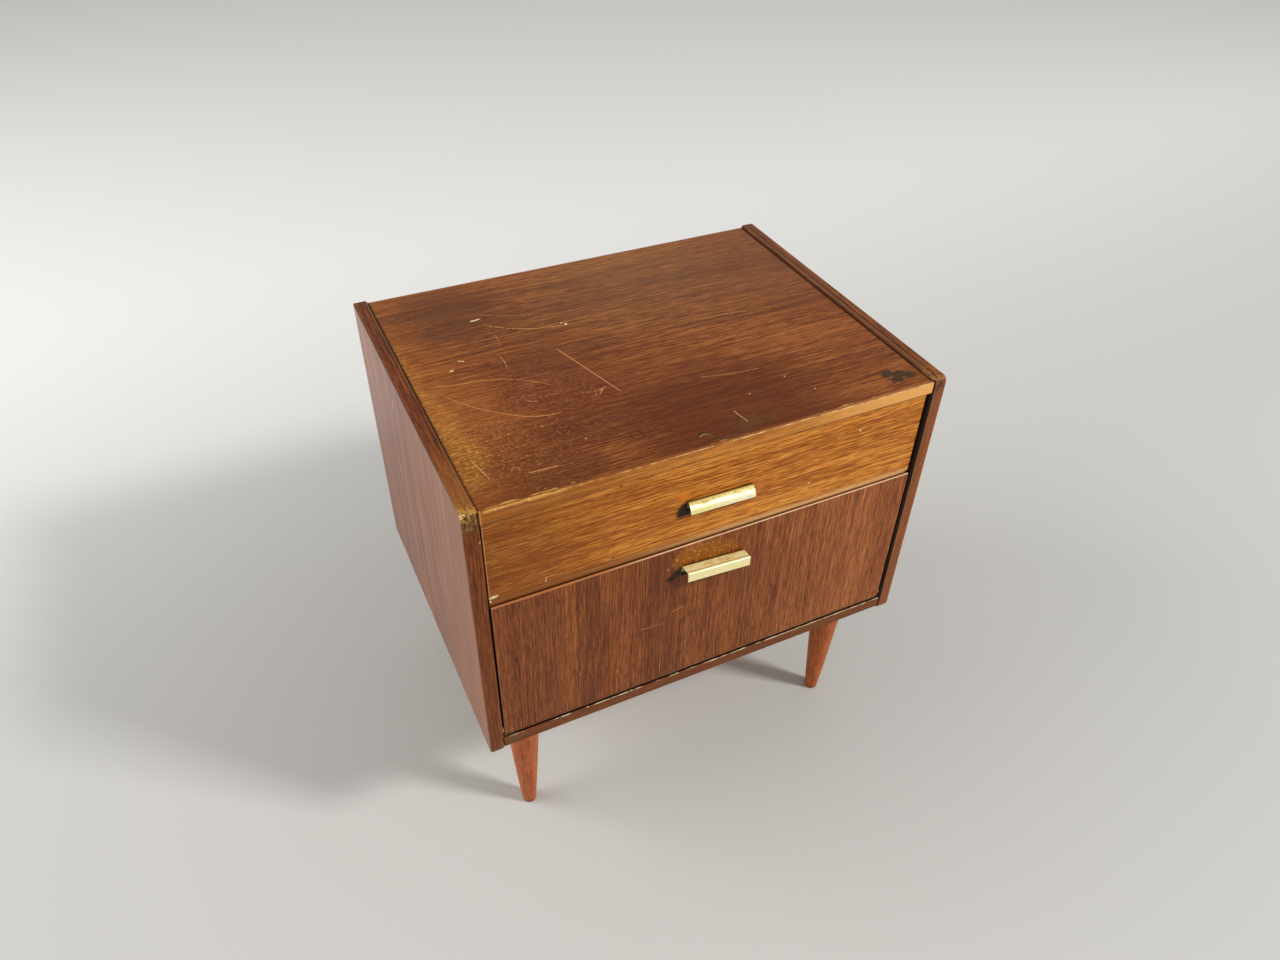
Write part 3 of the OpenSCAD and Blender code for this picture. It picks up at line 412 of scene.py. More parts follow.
def make_drawer_veneer():
    """The drawer front: golden to the right, browner to the left, partly its own tone and partly
    painted light, with reddish dashes
    """
    w = Wood("drawer_veneer", "x", ((146, 72, 10), (194, 112, 28), (230, 154, 60)), 23,
             band=18, spread=0.07, lines=0.48)
    ragged, cloud = w.noise(14, 4, 3, 37), w.noise(150, 30, 2, 39)
    # Browner to the left: partly its own tone, partly painted light falling from the right
    w.tint(w.step(w.x + cloud * 180, 85, -190) * 0.84, 122, 60, 14)
    w.tint(w.marks(18, 1.5, 0.54, 0.66, 2, 43) * w.step(w.x, -200, 160) * 0.38, 152, 74, 20)
    w.tint(w.marks(22, 1.8, 0.56, 0.68, 2, 47) * 0.4, 220, 152, 72)
    w.tint(w.step(w.z + cloud * 8, 432, 424) * 0.3, 156, 82, 26)
    # Amber halo by the pull, and the pull's shadow painted near black beside and under its left
    # end
    w.tint(w.spots("xz", [(-41, 481, 12, 9)], (ragged - 0.5) * 0.8, 0.9) * 0.75, 214, 122, 10)
    w.tint(w.spots("xz", [(-37, 459, 14, 15)], (ragged - 0.5) * 0.25, 0.35)
           * w.step(w.z, 452, 455) * w.step(w.x, -22, -28) * 0.95, 22, 12, 6)
    # Dark specks, pale dots, a scratch and the bare corner
    blot = (ragged - 0.5) * 0.9
    w.tint(w.spots("xz", [(-116, 461, 1.2, 1.6), (-117, 443, 1, 1.5), (-118, 427, 1.4, 2),
                          (-110, 517, 2, 1.6), (64, 441, 1, 1), (196, 462, 1, 1.4)], blot)
           * 0.8, 74, 36, 16)
    dots = w.spots("xz", [(166, 497, 1.8, 1.5), (110, 445, 1.7, 1.1), (-192, 414, 1, 1.4)],
                   blot)
    line = w.line("zx", 0.8, None, (415, -192), (423, -190), (431, -188))
    bare = w.most(w.raw(DRAWER_CHIPS, ragged), w.spots("xz", [(-242.6, 425.2, 4.6, 2.2)], blot))
    w.tint(w.most(dots * 0.9, line * 0.6, bare * 0.95), 240, 212, 160)
    # Dirt along the lipping's glue line; the drawer's edges behind its face, but the left end,
    # painted dark as the shade in the gaps; a pale left arris
    w.tint(w.patch(ragged * 1.2, 2, 0.7, z=422.5) * (0.75 - w.step(w.x, -60, 100) * 0.4),
           84, 46, 16)
    w.tint(w.step(w.y, DRAWER_FACE + 0.6, DRAWER_FACE + 2) * w.step(w.x, -246.8, -246.4) * 0.7,
           96, 62, 34)
    w.tint(w.step(w.x + (ragged - 0.5), -245.4, -246) * 0.55, 214, 160, 92)
    return w.lacquer(w.most(line, bare, dots), depth=0.025)


def make_drawer_lipping():
    """The golden strip along the drawer front's lower edge"""
    w = Wood("light_lipping_drawer", "x", ((156, 90, 38), (198, 128, 62), (224, 160, 90)), 27,
             band=9, streak=2)
    ragged = w.noise(12, 3, 3, 29)
    # Darker to the left, paler to the right: partly its own tone, partly painted light falling
    # from the right
    w.tint(w.step(w.x, 20, -200) * 0.8, 120, 64, 22)
    w.tint(w.step(w.z + ragged, 420.4, 418.8) * 0.6,
           w.mix(w.step(w.x, -140, 110), tone(150, 90, 42), tone(250, 192, 124)))
    w.tint(w.patch(ragged, 1.2, 0.4, z=422.5) * 0.35, 84, 46, 20)
    # The underside painted dark as the shade of the gap above the flap
    w.tint(w.step(w.z, 416.8, 416.5) * 0.6, 50, 28, 16)
    bare = w.raw(DRAWER_CHIPS, ragged)
    w.tint(bare * 0.9, 232, 200, 142)
    return w.lacquer(bare, 0.42)


def make_flap_veneer():
    """The flap: upright grain in dark and reddish bands, rubbed golden above its pull"""
    w = Wood("flap_veneer", "z", ((86, 38, 12), (132, 69, 28), (168, 98, 48)), 33, band=30,
             streak=1.7, spread=0.115, lines=0.32)
    ragged, patch = w.noise(5, 5, 3, 53), w.noise(70, 22, 3, 57)
    # Brighter to the right: partly its own tone, partly painted light falling from the right
    w.tinge(w.step(w.x + patch * 120, 60, 260), 1.45, 1.58, 1.95)
    bands = w.most(
        w.patch(patch * 60, 66, 26, x=-66), w.patch(patch * 50, 50, 20, x=48) * 0.6,
        w.patch(patch * 60, 74, 30, x=-196) * 0.9, w.patch(patch * 70, 58, 30, x=176) * 0.4,
        w.patch(patch * 44, 42, 20, x=-142) * 0.6)
    w.tint(bands * (0.12 + w.fibres * 0.4), 86, 36, 16)
    w.tint(w.marks(26, 2, 0.56, 0.68, 2, 59) * 0.16, 176, 108, 58)
    w.tint(w.marks(9, 0.9, 0.56, 0.68, 1, 60) * 0.3, 82, 36, 18)
    # The rubbed, speckled patch above the pull, and the pull's shadow painted dark left of and
    # below its left end
    rub = w.spots("xz", [(-14, 398, 44, 18), (-4, 392, 36, 15), (-38, 394, 20, 14)],
                  (ragged - 0.5) * 1.4 + (patch - 0.5), 0.6)
    w.tint(rub * 0.7, 160, 92, 20)
    w.tint(rub * w.marks(3.4, 2.6, 0.58, 0.66, 2, 63) * 0.75, 222, 166, 84)
    w.tint(rub * w.marks(5, 4, 0.5, 0.66, 3, 64) * 0.6, 96, 50, 14)
    w.tint(w.spots("xz", [(-58, 392, 14, 22)], (ragged - 0.5) * 1.2, 0.9) * 0.4, 112, 50, 24)
    w.tint(w.spots("xz", [(-46, 376, 9, 7), (-52, 371, 8, 5), (-38, 379, 9, 7)],
                   (ragged - 0.5) * 0.4, 0.6) * 0.85, 34, 18, 10)
    # Knots, scratches, nicks
    w.tint(w.spots("xz", [(-228, 262, 2.2, 3), (-230, 301, 3.4, 8), (-226, 330, 3, 10),
                          (-217, 240, 1.6, 2)], (ragged - 0.5) * 1.1, 0.9) * 0.55, 50, 24, 14)
    broken = w.marks(3, 3, 0.38, 0.52, 1, 65)
    lines = w.lines(("xz", 0.9, broken, (-49, 318), (-42, 320), (-34, 321.5)),
                    ("xz", 0.7, broken, (-86, 307), (-74, 306), (-54, 303.5)),
                    ("zx", 0.6, None, (226, -60), (236, -60.5), (245, -60)),
                    ("xz", 0.8, broken, (106, 240), (114, 244), (123, 247)),
                    ("xz", 0.8, broken, (229, 315), (233, 317), (237, 318)))
    nicks = w.spots("xz", [(-56, 386, 1.3, 2), (123, 278, 1, 1.5), (109, 262, 0.9, 1.2),
                           (-180, 226, 1.2, 0.8), (-158, 270, 0.8, 2.4), (-84, 307, 1.6, 1.2)],
                    (ragged - 0.5) * 0.6)
    w.tint(w.most(lines * 0.6, nicks * 0.6), 208, 150, 98)
    # The upper arris bare; behind it the top face painted in the lipping's brown, paler to the
    # right, with a dark line painted as the shade of the gap under the drawer
    away, upper = w.y - FLAP_FACE, w.step(w.z, 413, 413.35)
    w.tint(upper * w.step(away, 2.2, 2.6) * w.step(away, 8, 6) * 0.95,
           w.mix(w.step(w.x, -180, 110), tone(176, 104, 48), tone(255, 204, 140)))
    w.tint(upper * w.step(away, 1.6, 2) * w.step(away, 4.3, 3.7) * 0.92,
           w.mix(w.step(w.x, -140, 140), tone(54, 22, 6), tone(104, 60, 26)))
    arris = w.off(z=FLAP_TOP, y=FLAP_FACE) + (ragged - 0.5) * 0.6
    w.tint(w.step(arris, 1.9, 1.3) * (0.4 + w.step(w.x, 40, -60) * 0.45), 186, 120, 70)
    worn = w.noise(24, 20, 3, 67, along="x") + w.step(w.x, -120, -40) * 0.3
    w.tint(w.step(arris, 0.9, 0.65) * w.step(worn, 0.44, 0.54) * w.step(w.x, -150, -50) * 0.85,
           238, 206, 170)
    # The ends and the underside painted dark as shade in their gaps; a pale left front corner;
    # darker towards the bottom; a paler back edge
    w.tint(w.step(abs(w.x), 246.4, 246.9) * 0.7, 40, 24, 16)
    w.tint(w.patch(ragged * 1.5, 2.2, 0.9, x=-246.4, y=FLAP_FACE) * 0.5, 160, 104, 60)
    w.tint(w.step(w.z + ragged * 4, 219, 214) * 0.4, 66, 36, 22)
    w.tint(w.step(w.z, 214.3, 213.5) * 0.9, 22, 14, 10)
    w.tint(w.step(away, 15.2, 15.8) * 0.5, 156, 106, 66)
    return w.lacquer(w.most(lines, nicks), 0.42, depth=0.03)


def make_side_veneer():
    """The side panels: fine upright grain outside, plainer and matt inside"""
    w = Wood("side_veneer", "z", ((92, 40, 20), (134, 72, 40), (176, 106, 64)), 43, band=24,
             streak=2, length=90, spread=0.135, lines=0.15, pores=0.15)
    ragged = w.noise(5, 5, 3, 77)
    inside, left = w.step(abs(w.x), 249.6, 249.2), w.step(w.x, 200, -200)
    w.tint(w.marks(300, 5, 0.5, 0.62, 2, 79) * (0.24 + left * 0.42), 98, 48, 34)
    w.tint(w.marks(260, 7, 0.54, 0.64, 2, 78) * (0.2 + left * 0.4), 184, 118, 80)
    w.tint(w.marks(200, 2, 0.53, 0.61, 2, 76) * (0.12 + left * 0.55), 84, 40, 30)
    # Paler towards the front: a painted sheen
    w.tint(w.step(w.y, 60, FRONT) * 0.3, 182, 120, 82)
    w.tint(w.step(w.z + ragged * 14, 205, 188) * 0.4, 100, 58, 38)
    w.tint(inside * 0.7, 140, 92, 56)
    # The inner face near the front painted near black as the shade in the gap beside the drawer
    w.tint(inside * w.step(w.y, FRONT + 22, FRONT + 12) * 0.93, 18, 11, 8)
    marks = w.most(
        w.line("zy", 2, None, (484, 64), (494, 58), (506, 51)) * w.step(w.x, -200, -201),
        w.line("zy", 0.6, None, (398, -60), (404, -58), (411, -57)),
        w.line("yz", 0.6, None, (-120, 332), (-96, 336), (-70, 337)))
    hairs = w.most(w.hairlines("X", 28, 18, 0.7, -0.01, 81),
                   w.hairlines("X", -50, 12, 0.7, -0.02, 83))
    w.tint(w.most(marks * 0.7, hairs * 0.25), 212, 176, 146)
    w.tint(w.most(w.patch(ragged * 2, 2.4, 1, y=BACK, x=OUTER),
                  w.patch(ragged * 2, 2.4, 1, y=BACK, x=-OUTER),
                  w.step(w.z + ragged * 2, 192.4, 190.8)) * 0.5, 176, 126, 84)
    return w.lacquer(marks, 0.42, 0.5, coat=0.21)


def dark_strip(name, along, shift):
    """The wood of the dark stained lippings"""
    return Wood(name, along, ((72, 30, 8), (112, 54, 18), (140, 76, 32)), shift, band=14,
                streak=2.2, spread=0.12, lines=0.25)


def make_band_lipping():
    """The upright lippings on the front edges of the side panels"""
    w = dark_strip("dark_lipping_band", "z", 53)
    side, left, right = abs(w.x), w.step(w.x, 60, -60), w.step(w.x, -60, 60)
    ragged = w.noise(4, 2.5, 3, 87)
    outer = w.step(side + (ragged - 0.5) * 3, 262.6, 264.4)
    w.tint(outer * right * 0.6, 176, 106, 50)
    w.tint(outer * left * 0.3, 150, 88, 50)
    inner = w.step(abs(side - 251) + (ragged - 0.5) * 1.2, 0.7, 0.2)
    w.tint(inner * w.marks(50, 20, 0.4, 0.56, 1, 85) * left * w.step(w.z, 430, 412) * 0.5,
           150, 108, 50)
    w.tinge(right, 1.4, 1.3, 1.05)
    w.tint(right * 0.4, 146, 92, 48)
    # The gap beside the drawer and flap painted near black as shade, all along on the right, low
    # down on the left
    gap = (w.step(side - right * 1.7, 249.8, 249.3)
           * w.step(w.y + right * 9, FRONT + 1.2, FRONT + 1.8))
    w.tint(gap * w.most(w.step(w.z, 420, 412), right) * 0.94, 12, 8, 6)
    w.tint(w.step(w.z + (ragged - 0.5) * 26, 512, 534) * left * 0.75, 104, 76, 26)
    w.tint(w.step(w.z + (ragged - 0.5) * 16, 203, 190) * 0.7, 128, 88, 34)
    w.tint(w.marks(7, 3, 0.5, 0.6, 3, 89) * w.step(w.z, 508, 530) * 0.7, 44, 30, 12)
    w.tint(w.marks(5, 3, 0.5, 0.6, 2, 90) * w.step(w.z, 516, 532) * left * 0.6, 196, 152, 78)
    bare = w.raw(CORNER_CHIPS + BAND_CHIPS + LOW_CORNER_CHIPS, ragged)
    w.tint(bare * 0.9, 224, 184, 122)
    return w.lacquer(bare, 0.38)


def make_rail_lipping():
    """The lippings on the top edges of the side panels, worn where hands have been"""
    w = dark_strip("dark_lipping_rail", "y", 63)
    side, left, right = abs(w.x), w.step(w.x, 60, -60), w.step(w.x, -60, 60)
    ragged = w.noise(7, 2.5, 3, 91)
    w.tint(w.marks(60, 2.4, 0.54, 0.66, 2, 93) * 0.45, 44, 22, 12)
    ridge = w.step(side, 250.4, 251.2) * w.step(side, 252.4, 251.8)
    w.tint(ridge * w.step(w.noise(60, 20, 1, 90) + w.step(w.y, 0, -150) * 0.2, 0.36, 0.56)
           * left * 0.45, 124, 96, 66)
    w.tinge(right, 1.1, 1.24, 1.2)
    # The groove beside the top board painted near black on the left and dark on the right: dirt
    # and painted shade
    hollow = w.step(w.z, 539.5, 538) * w.step(side, 251.6, 250.6)
    w.tint(hollow * (1 - right) * 0.94, 12, 8, 6)
    w.tint(hollow * right * 0.85, 48, 26, 12)
    w.tint(w.step(abs(side - 252.4), 1.3, 0.9) * right * 0.6, 128, 86, 50)
    w.tint(w.step(abs(side - 254.8) + (ragged - 0.5) * 0.6, 1.4, 0.8) * right * 0.85,
           44, 24, 10)
    w.tint(w.step(abs(side - 253) + (ragged - 0.5) * 0.8, 0.8, 0.3) * (1 - right) * 0.75,
           34, 20, 10)
    # The rounded outer arris painted darker as its shade
    w.tint(w.step(side + (ragged - 0.5) * 1.6, 263.7, 264.7) * 0.6, 62, 34, 16)
    w.tint(w.step(w.y, -70, -160) * (1 - right) * (0.2 + w.fibres * 0.5), 152, 94, 44)
    worn = w.step(w.y + ragged * 60, -120, -172)
    w.tint(worn * w.marks(7, 3, 0.42, 0.56, 3, 95) * 0.75, 158, 106, 38)
    w.tint(w.step(w.y + (ragged - 0.5) * 22, FRONT + 12, FRONT + 4) * left * 0.7,
           186, 138, 62)
    w.tint(w.marks(5, 4, 0.5, 0.6, 2, 97) * worn * (1 - right) * 0.6, 84, 50, 20)
    bare = w.raw(CORNER_CHIPS, ragged)
    w.tint(bare * 0.95, 238, 208, 150)
    return w.lacquer(bare, 0.38)


def make_bottom_lipping():
    """The lipping of the bottom board, whitish where its arris is broken"""
    w = dark_strip("dark_lipping_bottom", "x", 73)
    ragged = w.noise(14, 3, 3, 97)
    w.tint(0.4, 128, 76, 30)
    # The top of the lipping behind its arris painted near black as the shade of the gap under the
    # flap
    w.tint(w.step(w.y, BOARD_FRONT + 0.7, BOARD_FRONT + 1.1) * w.step(w.z, 209, 209.8) * 0.95,
           16, 10, 7)
    upper = w.step(w.off(y=BOARD_FRONT, z=210) - (ragged - 0.5) * 3, 0.75, 0.4)
    w.tint(upper * w.step(w.noise(30, 8, 3, 99) + w.x * 0.0005, 0.36, 0.48) * 0.9,
           222, 200, 166)
    w.tint(w.step(w.z + ragged * 2, 196.8, 195.4) * 0.5, 160, 106, 50)
    w.tint(w.step(w.x, -225, -INNER) * 0.5, 96, 74, 30)
    bare = w.raw(BOTTOM_CHIPS, ragged)
    w.tint(bare * 0.8, 222, 190, 146)
    return w.lacquer(bare, 0.42)


def make_inner_board():
    """Plain veneer of the bottom board and the shelf"""
    w = Wood("inner_board", "x", ((146, 98, 62), (172, 124, 84), (194, 150, 108)), 83,
             band=34, streak=4)
    w.tint(w.step(w.blotch, 0.5, 0.72) * 0.3, 140, 98, 68)
    return w.lacquer(None, 0.55, depth=0.04)


def make_stained_beech():
    """The legs: orange-brown stain over beech with its short flecks, darker at the foot"""
    w = Wood("stained_beech", "z", ((146, 68, 24), (180, 92, 40), (204, 118, 58)), 93,
             band=13, streak=2.6, spread=0.14, lines=0.25)
    w.tint(w.marks(3.4, 0.7, 0.6, 0.7, 1, 101) * 0.35, 110, 46, 20)
    w.tint(w.step(w.z + w.noise(6, 6, 2, 103) * 5, 9, 4) * 0.55, 92, 44, 22)
    w.tint(w.step(w.z, 186, LEG_H) * 0.35, 96, 44, 22)
    w.tint(w.step(w.blotch, 0.52, 0.7) * 0.3, 190, 112, 60)
    return w.lacquer(depth=0.04)


def make_beech(name, along, shift):
    """Unlacquered beech with its short dark flecks"""
    w = Wood(name, along, ((188, 148, 104), (212, 176, 132), (226, 194, 154)), shift,
             band=30, streak=4, pores=0.12, spread=0.16, lines=0.2)
    w.tint(w.marks(4, 0.8, 0.6, 0.7, 1, shift + 13) * 0.4, 166, 118, 78)
    w.tint(w.step(w.blotch, 0.5, 0.8) * 0.3, 196, 158, 112)
    return w.close(0.62 + w.streaks * 0.1, w.relief)


def make_hardboard():
    """Smooth brown hardboard with scattered fibres and dust"""
    f = Finish("hardboard")
    fibres, cloud = f.noise(1.2, 1.2, 4, 5), f.noise(60, 60, 3, 9)
    f.colour = f.ramp(fibres * 0.8 + cloud * 0.2, (0.34, tone(122, 88, 60)),
                      (0.5, tone(142, 105, 72)), (0.68, tone(166, 128, 92)))
    f.tint(f.marks(2.4, 0.7, 0.66, 0.74, 1, 15) * 0.5, 84, 56, 38)
    f.tint(f.hairlines("Y", 24, 30, 1.2, 0.0, 17) * 0.25, 196, 164, 126)
    return f.close(0.55 + cloud * 0.25, fibres, 0.08)


def make_pull_brass():
    """Pale brass of the pulls: spotted patina on top, a bright lip where fingers rub it, and a
    highlight painted along the hood
    """
    f = Finish("pull_brass")
    cloud, fine = f.noise(16, 9, 3, 3), f.noise(7, 0.5, 2, 11)
    spots = f.marks(2.2, 1.5, 0.54, 0.66, 2, 7)
    f.colour = f.mix(f.step(cloud, 0.4, 0.65), tone(252, 234, 160), tone(246, 216, 124))
    # The flat top of the flap's pull and the rear of the hood carry the patina
    ledge = f.step(f.z, 390, 388) * f.step(f.z, 379, 381) * f.step(f.y, -203.2, -201.6)
    hood = f.step(f.z, 440, 450)
    rear = hood * f.step(f.y + cloud * 3, -193.4, -191.6)
    patina = f.most(ledge, rear)
    # A highlight painted as a near-white band along the middle of the hood
    f.tint(hood * f.step(f.y + cloud * 2, -192.6, -193.6) * 0.8, 255, 252, 224)
    f.tint(hood * f.step(f.y, -195.4, -197) * f.step(f.x, 34, -30) * 0.75, 248, 236, 140)
    f.tint(ledge * 0.9, 255, 242, 176)
    f.tint(rear * 0.85, 150, 134, 74)
    f.tint(ledge * f.step(cloud, 0.44, 0.34) * 0.6, 255, 246, 212)
    f.tint(ledge * f.step(cloud, 0.52, 0.6) * 0.55, 220, 174, 86)
    f.tint(patina * spots * (0.5 - ledge * 0.2), 150, 108, 46)
    lip = f.step(f.z, 396, 390) * f.step(f.y, -203.4, -204.4)
    f.tint(lip * 0.8, 255, 246, 186)
    # Darker at the back where the sheet meets the wood: patina and painted shade
    f.tint(f.most(f.step(f.z, 396, 390) * f.step(f.y, -193.4, -192.6),
                  f.step(f.z, 440, 450) * f.step(f.y, -191, -190)) * 0.7, 112, 92, 44)
    f.tint(f.marks(3, 2, 0.66, 0.72, 1, 13) * 0.35, 150, 118, 60)
    roughness = 0.3 + cloud * 0.16 + f.most(ledge, hood) * 0.14 + spots * patina * 0.1
    return f.close(roughness, fine * 0.6 + spots * patina, 0.02,
                   metallic=0.62 - ledge * 0.5 - lip * 0.25)


def make_metal(name, light, dark, rough, shift):
    """Sheet or turned metal: drawn lines, handling marks and a few dull spots"""
    f = Finish(name)
    light, dark = tone(*light), tone(*dark)
    drawn, cloud = f.noise(9, 0.4, 2, shift, along="y"), f.noise(11, 11, 3, shift + 5)
    spots = f.marks(1.6, 1.6, 0.62, 0.72, 2, shift + 9)
    f.colour = f.mix(f.step(cloud, 0.42, 0.68) * 0.6, light, dark)
    f.tint(spots * 0.45, [c * 0.45 for c in dark])
    return f.close(rough + cloud * 0.2 + spots * 0.15, drawn, 0.015, metallic=1)


def make_plastic():
    """Dark moulded plastic with a fine matt skin and dust"""
    f = Finish("catch_plastic")
    dust = f.marks(5, 5, 0.5, 0.75, 4, 9)
    f.colour = f.mix(dust * 0.35, tone(62, 44, 34), tone(124, 104, 84))
    return f.close(0.42 + dust * 0.25, f.noise(0.8, 0.8, 2, 5), 0.03)


BRASS = make_metal("brass", (226, 192, 118), (196, 156, 84), 0.26, 21)
STEEL = make_metal("steel", (206, 206, 202), (168, 168, 166), 0.26, 23)
# The dark inner faces of the pulls: tarnish, and painted shade inside the hollow
TARNISH_AND_SHADE = make_metal("pull_brass_inside", (58, 44, 24), (34, 25, 14), 0.55, 25)
TOP_VENEER, TOP_LIPPING = make_top_veneer(), make_top_lipping()
DRAWER_VENEER, DRAWER_LIPPING = make_drawer_veneer(), make_drawer_lipping()
FLAP_VENEER, SIDE_VENEER = make_flap_veneer(), make_side_veneer()
BAND_LIPPING, RAIL_LIPPING = make_band_lipping(), make_rail_lipping()
BOTTOM_LIPPING, INNER_BOARD = make_bottom_lipping(), make_inner_board()
STAINED_BEECH, HARDBOARD = make_stained_beech(), make_hardboard()
BEECH_ALONG = make_beech("beech", "y", 111)
BEECH_ACROSS = make_beech("beech_across", "x", 121)
PULL_BRASS, PLASTIC = make_pull_brass(), make_plastic()


# ---------------------------------------------------------------- workshop

def take(*pieces):
    """Selects these pieces alone, the last of them active, or none"""
    bpy.ops.object.select_all(action="DESELECT")
    for piece in pieces:
        piece.select_set(True)
        bpy.context.view_layer.objects.active = piece


def fixed(name):
    """Names the active object and puts its place into its mesh"""
    piece = bpy.context.object
    piece.name = piece.data.name = name
    bpy.ops.object.transform_apply(location=True, rotation=True, scale=True)
    return piece


def placed(piece, place=(0, 0, 0), turn=(0, 0, 0)):
    """Turns a piece about the axes by degrees, then moves it by millimetres"""
    take(piece)
    piece.location = [c * MM for c in place]
    piece.rotation_euler = [math.radians(a) for a in turn]
    return fixed(piece.name)


def block(name, low, high):
    """A blank between two corners"""
    take()
    bpy.ops.mesh.primitive_cube_add(size=1, location=[(a + b) / 2 * MM for a, b in zip(low, high)],
                                    scale=[(b - a) * MM for a, b in zip(low, high)])
    return fixed(name)


def outline(name, points, fill="NGON"):
    """A flat outline through points"""
    take()
    bpy.ops.mesh.primitive_circle_add(vertices=len(points), fill_type=fill)
    piece = fixed(name)
    for corner, place in zip(piece.data.vertices, points):
        corner.co = Vector(place) * MM
    return piece


@contextmanager
def bench(piece, what="EDGE", chosen="DESELECT"):
    """A piece open in edit mode, choosing faces, edges or points"""
    take(piece)
    bpy.ops.object.mode_set(mode="EDIT")
    bpy.ops.mesh.select_mode(type=what)
    bpy.ops.mesh.select_all(action=chosen)
    yield
    bpy.ops.object.mode_set(mode="OBJECT")


def bevel_where(test, width, steps=2):
    """Bevels the edges that pass a test by their middle in millimetres and direction"""
    bpy.ops.mesh.select_all(action="DESELECT")
    mesh = bmesh.from_edit_mesh(bpy.context.edit_object.data)
    for edge in mesh.edges:
        a, b = (v.co for v in edge.verts)
        if test((a + b) / 2 / MM, (b - a).normalized()):
            edge.select_set(True)
    mesh.select_flush_mode()
    bmesh.update_edit_mesh(bpy.context.edit_object.data)
    bpy.ops.mesh.bevel(offset=width * MM, segments=steps, profile=0.5, affect="EDGES")


def whole():
    """Closes seams and turns the faces outwards"""
    bpy.ops.mesh.select_all(action="SELECT")
    bpy.ops.mesh.remove_doubles(threshold=1e-6)
    bpy.ops.mesh.normals_make_consistent(inside=False)


def shaped(piece, kind, **settings):
    """Adds a modifier to a piece and applies it"""
    take(piece)
    made = piece.modifiers.new(kind.lower(), kind)
    for key, setting in settings.items():
        setattr(made, key, setting)
    bpy.ops.object.modifier_apply(modifier=made.name)
    return piece


def cut(piece, cutter):
    """Cuts a cutter out of a piece and removes the cutter"""
    shaped(piece, "BOOLEAN", operation="DIFFERENCE", solver="EXACT", object=cutter)
    bpy.data.objects.remove(cutter)
    return piece


def rabbeted(piece):
    """Cuts the rabbet for the back panel"""
    return cut(piece, block("rabbet", (-INNER - RABBET, BACK_FACE, BOTTOM_BOARD[1] - RABBET),
                            (INNER + RABBET, BACK + 9, TOP_BOARD[0] + RABBET)))


def copied(piece, name):
    """A copy with a mesh of its own"""
    part = piece.copy()
    part.data = piece.data.copy()
    part.name = part.data.name = name
    bpy.context.scene.collection.objects.link(part)
    return part


def split(piece, name, *planes):
    """A copy of a piece cut off at planes: a point in each and the side that goes"""
    part = copied(piece, name)
    for point, away in planes:
        with bench(part, "FACE", "SELECT"):
            bpy.ops.mesh.bisect(plane_co=[c * MM for c in point], plane_no=away,
                                use_fill=True, clear_outer=True)
    return part


def mirrored(piece, name):
    """The same piece for the other side"""
    part = copied(piece, name)
    part.scale.x = -1
    placed(part)
    with bench(part, "FACE"):
        whole()
    return part


def joined(pieces, name):
    """Makes one piece of several"""
    take(*pieces)
    bpy.ops.object.join()
    return fixed(name)


def chipped(piece, chipped_at, seed):
    """Breaks chips out of a piece with rough lumps"""
    for number, (place, size) in enumerate(chipped_at):
        take()
        bpy.ops.mesh.primitive_ico_sphere_add(
            subdivisions=2, radius=size * MM, location=[c * MM for c in place],
            rotation=(number, number * 2, number * 3), scale=(1.3, 0.8, 0.7))
        lump = fixed("lump")
        with bench(lump, "VERT", "SELECT"):
            bpy.ops.transform.vertex_random(offset=size * 0.3 * MM, seed=seed + number)
        cut(piece, lump)
    return piece


def refined(node, width=0.3, steps=2):
    """The merged copy of a CAD node with its sharp arrises broken"""
    piece = copied(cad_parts[node], node + "_finished")
    piece.parent = None
    for key in [k for k in piece.keys() if k.startswith("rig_")]:
        del piece[key]
    piece.hide_render = piece.hide_viewport = False
    piece.matrix_world = Matrix.Identity(4)
    with bench(piece, "VERT", "SELECT"):
        bpy.ops.mesh.remove_doubles(threshold=1e-6)
        bpy.ops.mesh.dissolve_limited(angle_limit=math.radians(0.5))
        bpy.ops.mesh.customdata_custom_splitnormals_clear()
    return shaped(piece, "BEVEL", width=width * MM, segments=steps, limit_method="ANGLE",
                  angle_limit=math.radians(35), use_clamp_overlap=True)


def fitted(piece, body, slot, finish, *nodes, angle=32):
    """Smooths a piece and gives it its finish and its place in the frame"""
    take(piece)
    bpy.ops.object.shade_smooth_by_angle(angle=math.radians(angle))
    shaped(piece, "WEIGHTED_NORMAL", keep_sharp=True)
    piece.data.materials.clear()
    piece.data.materials.append(finish)
    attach(piece, body)
    if nodes:
        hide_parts(*nodes)


# ---------------------------------------------------------------- carcass

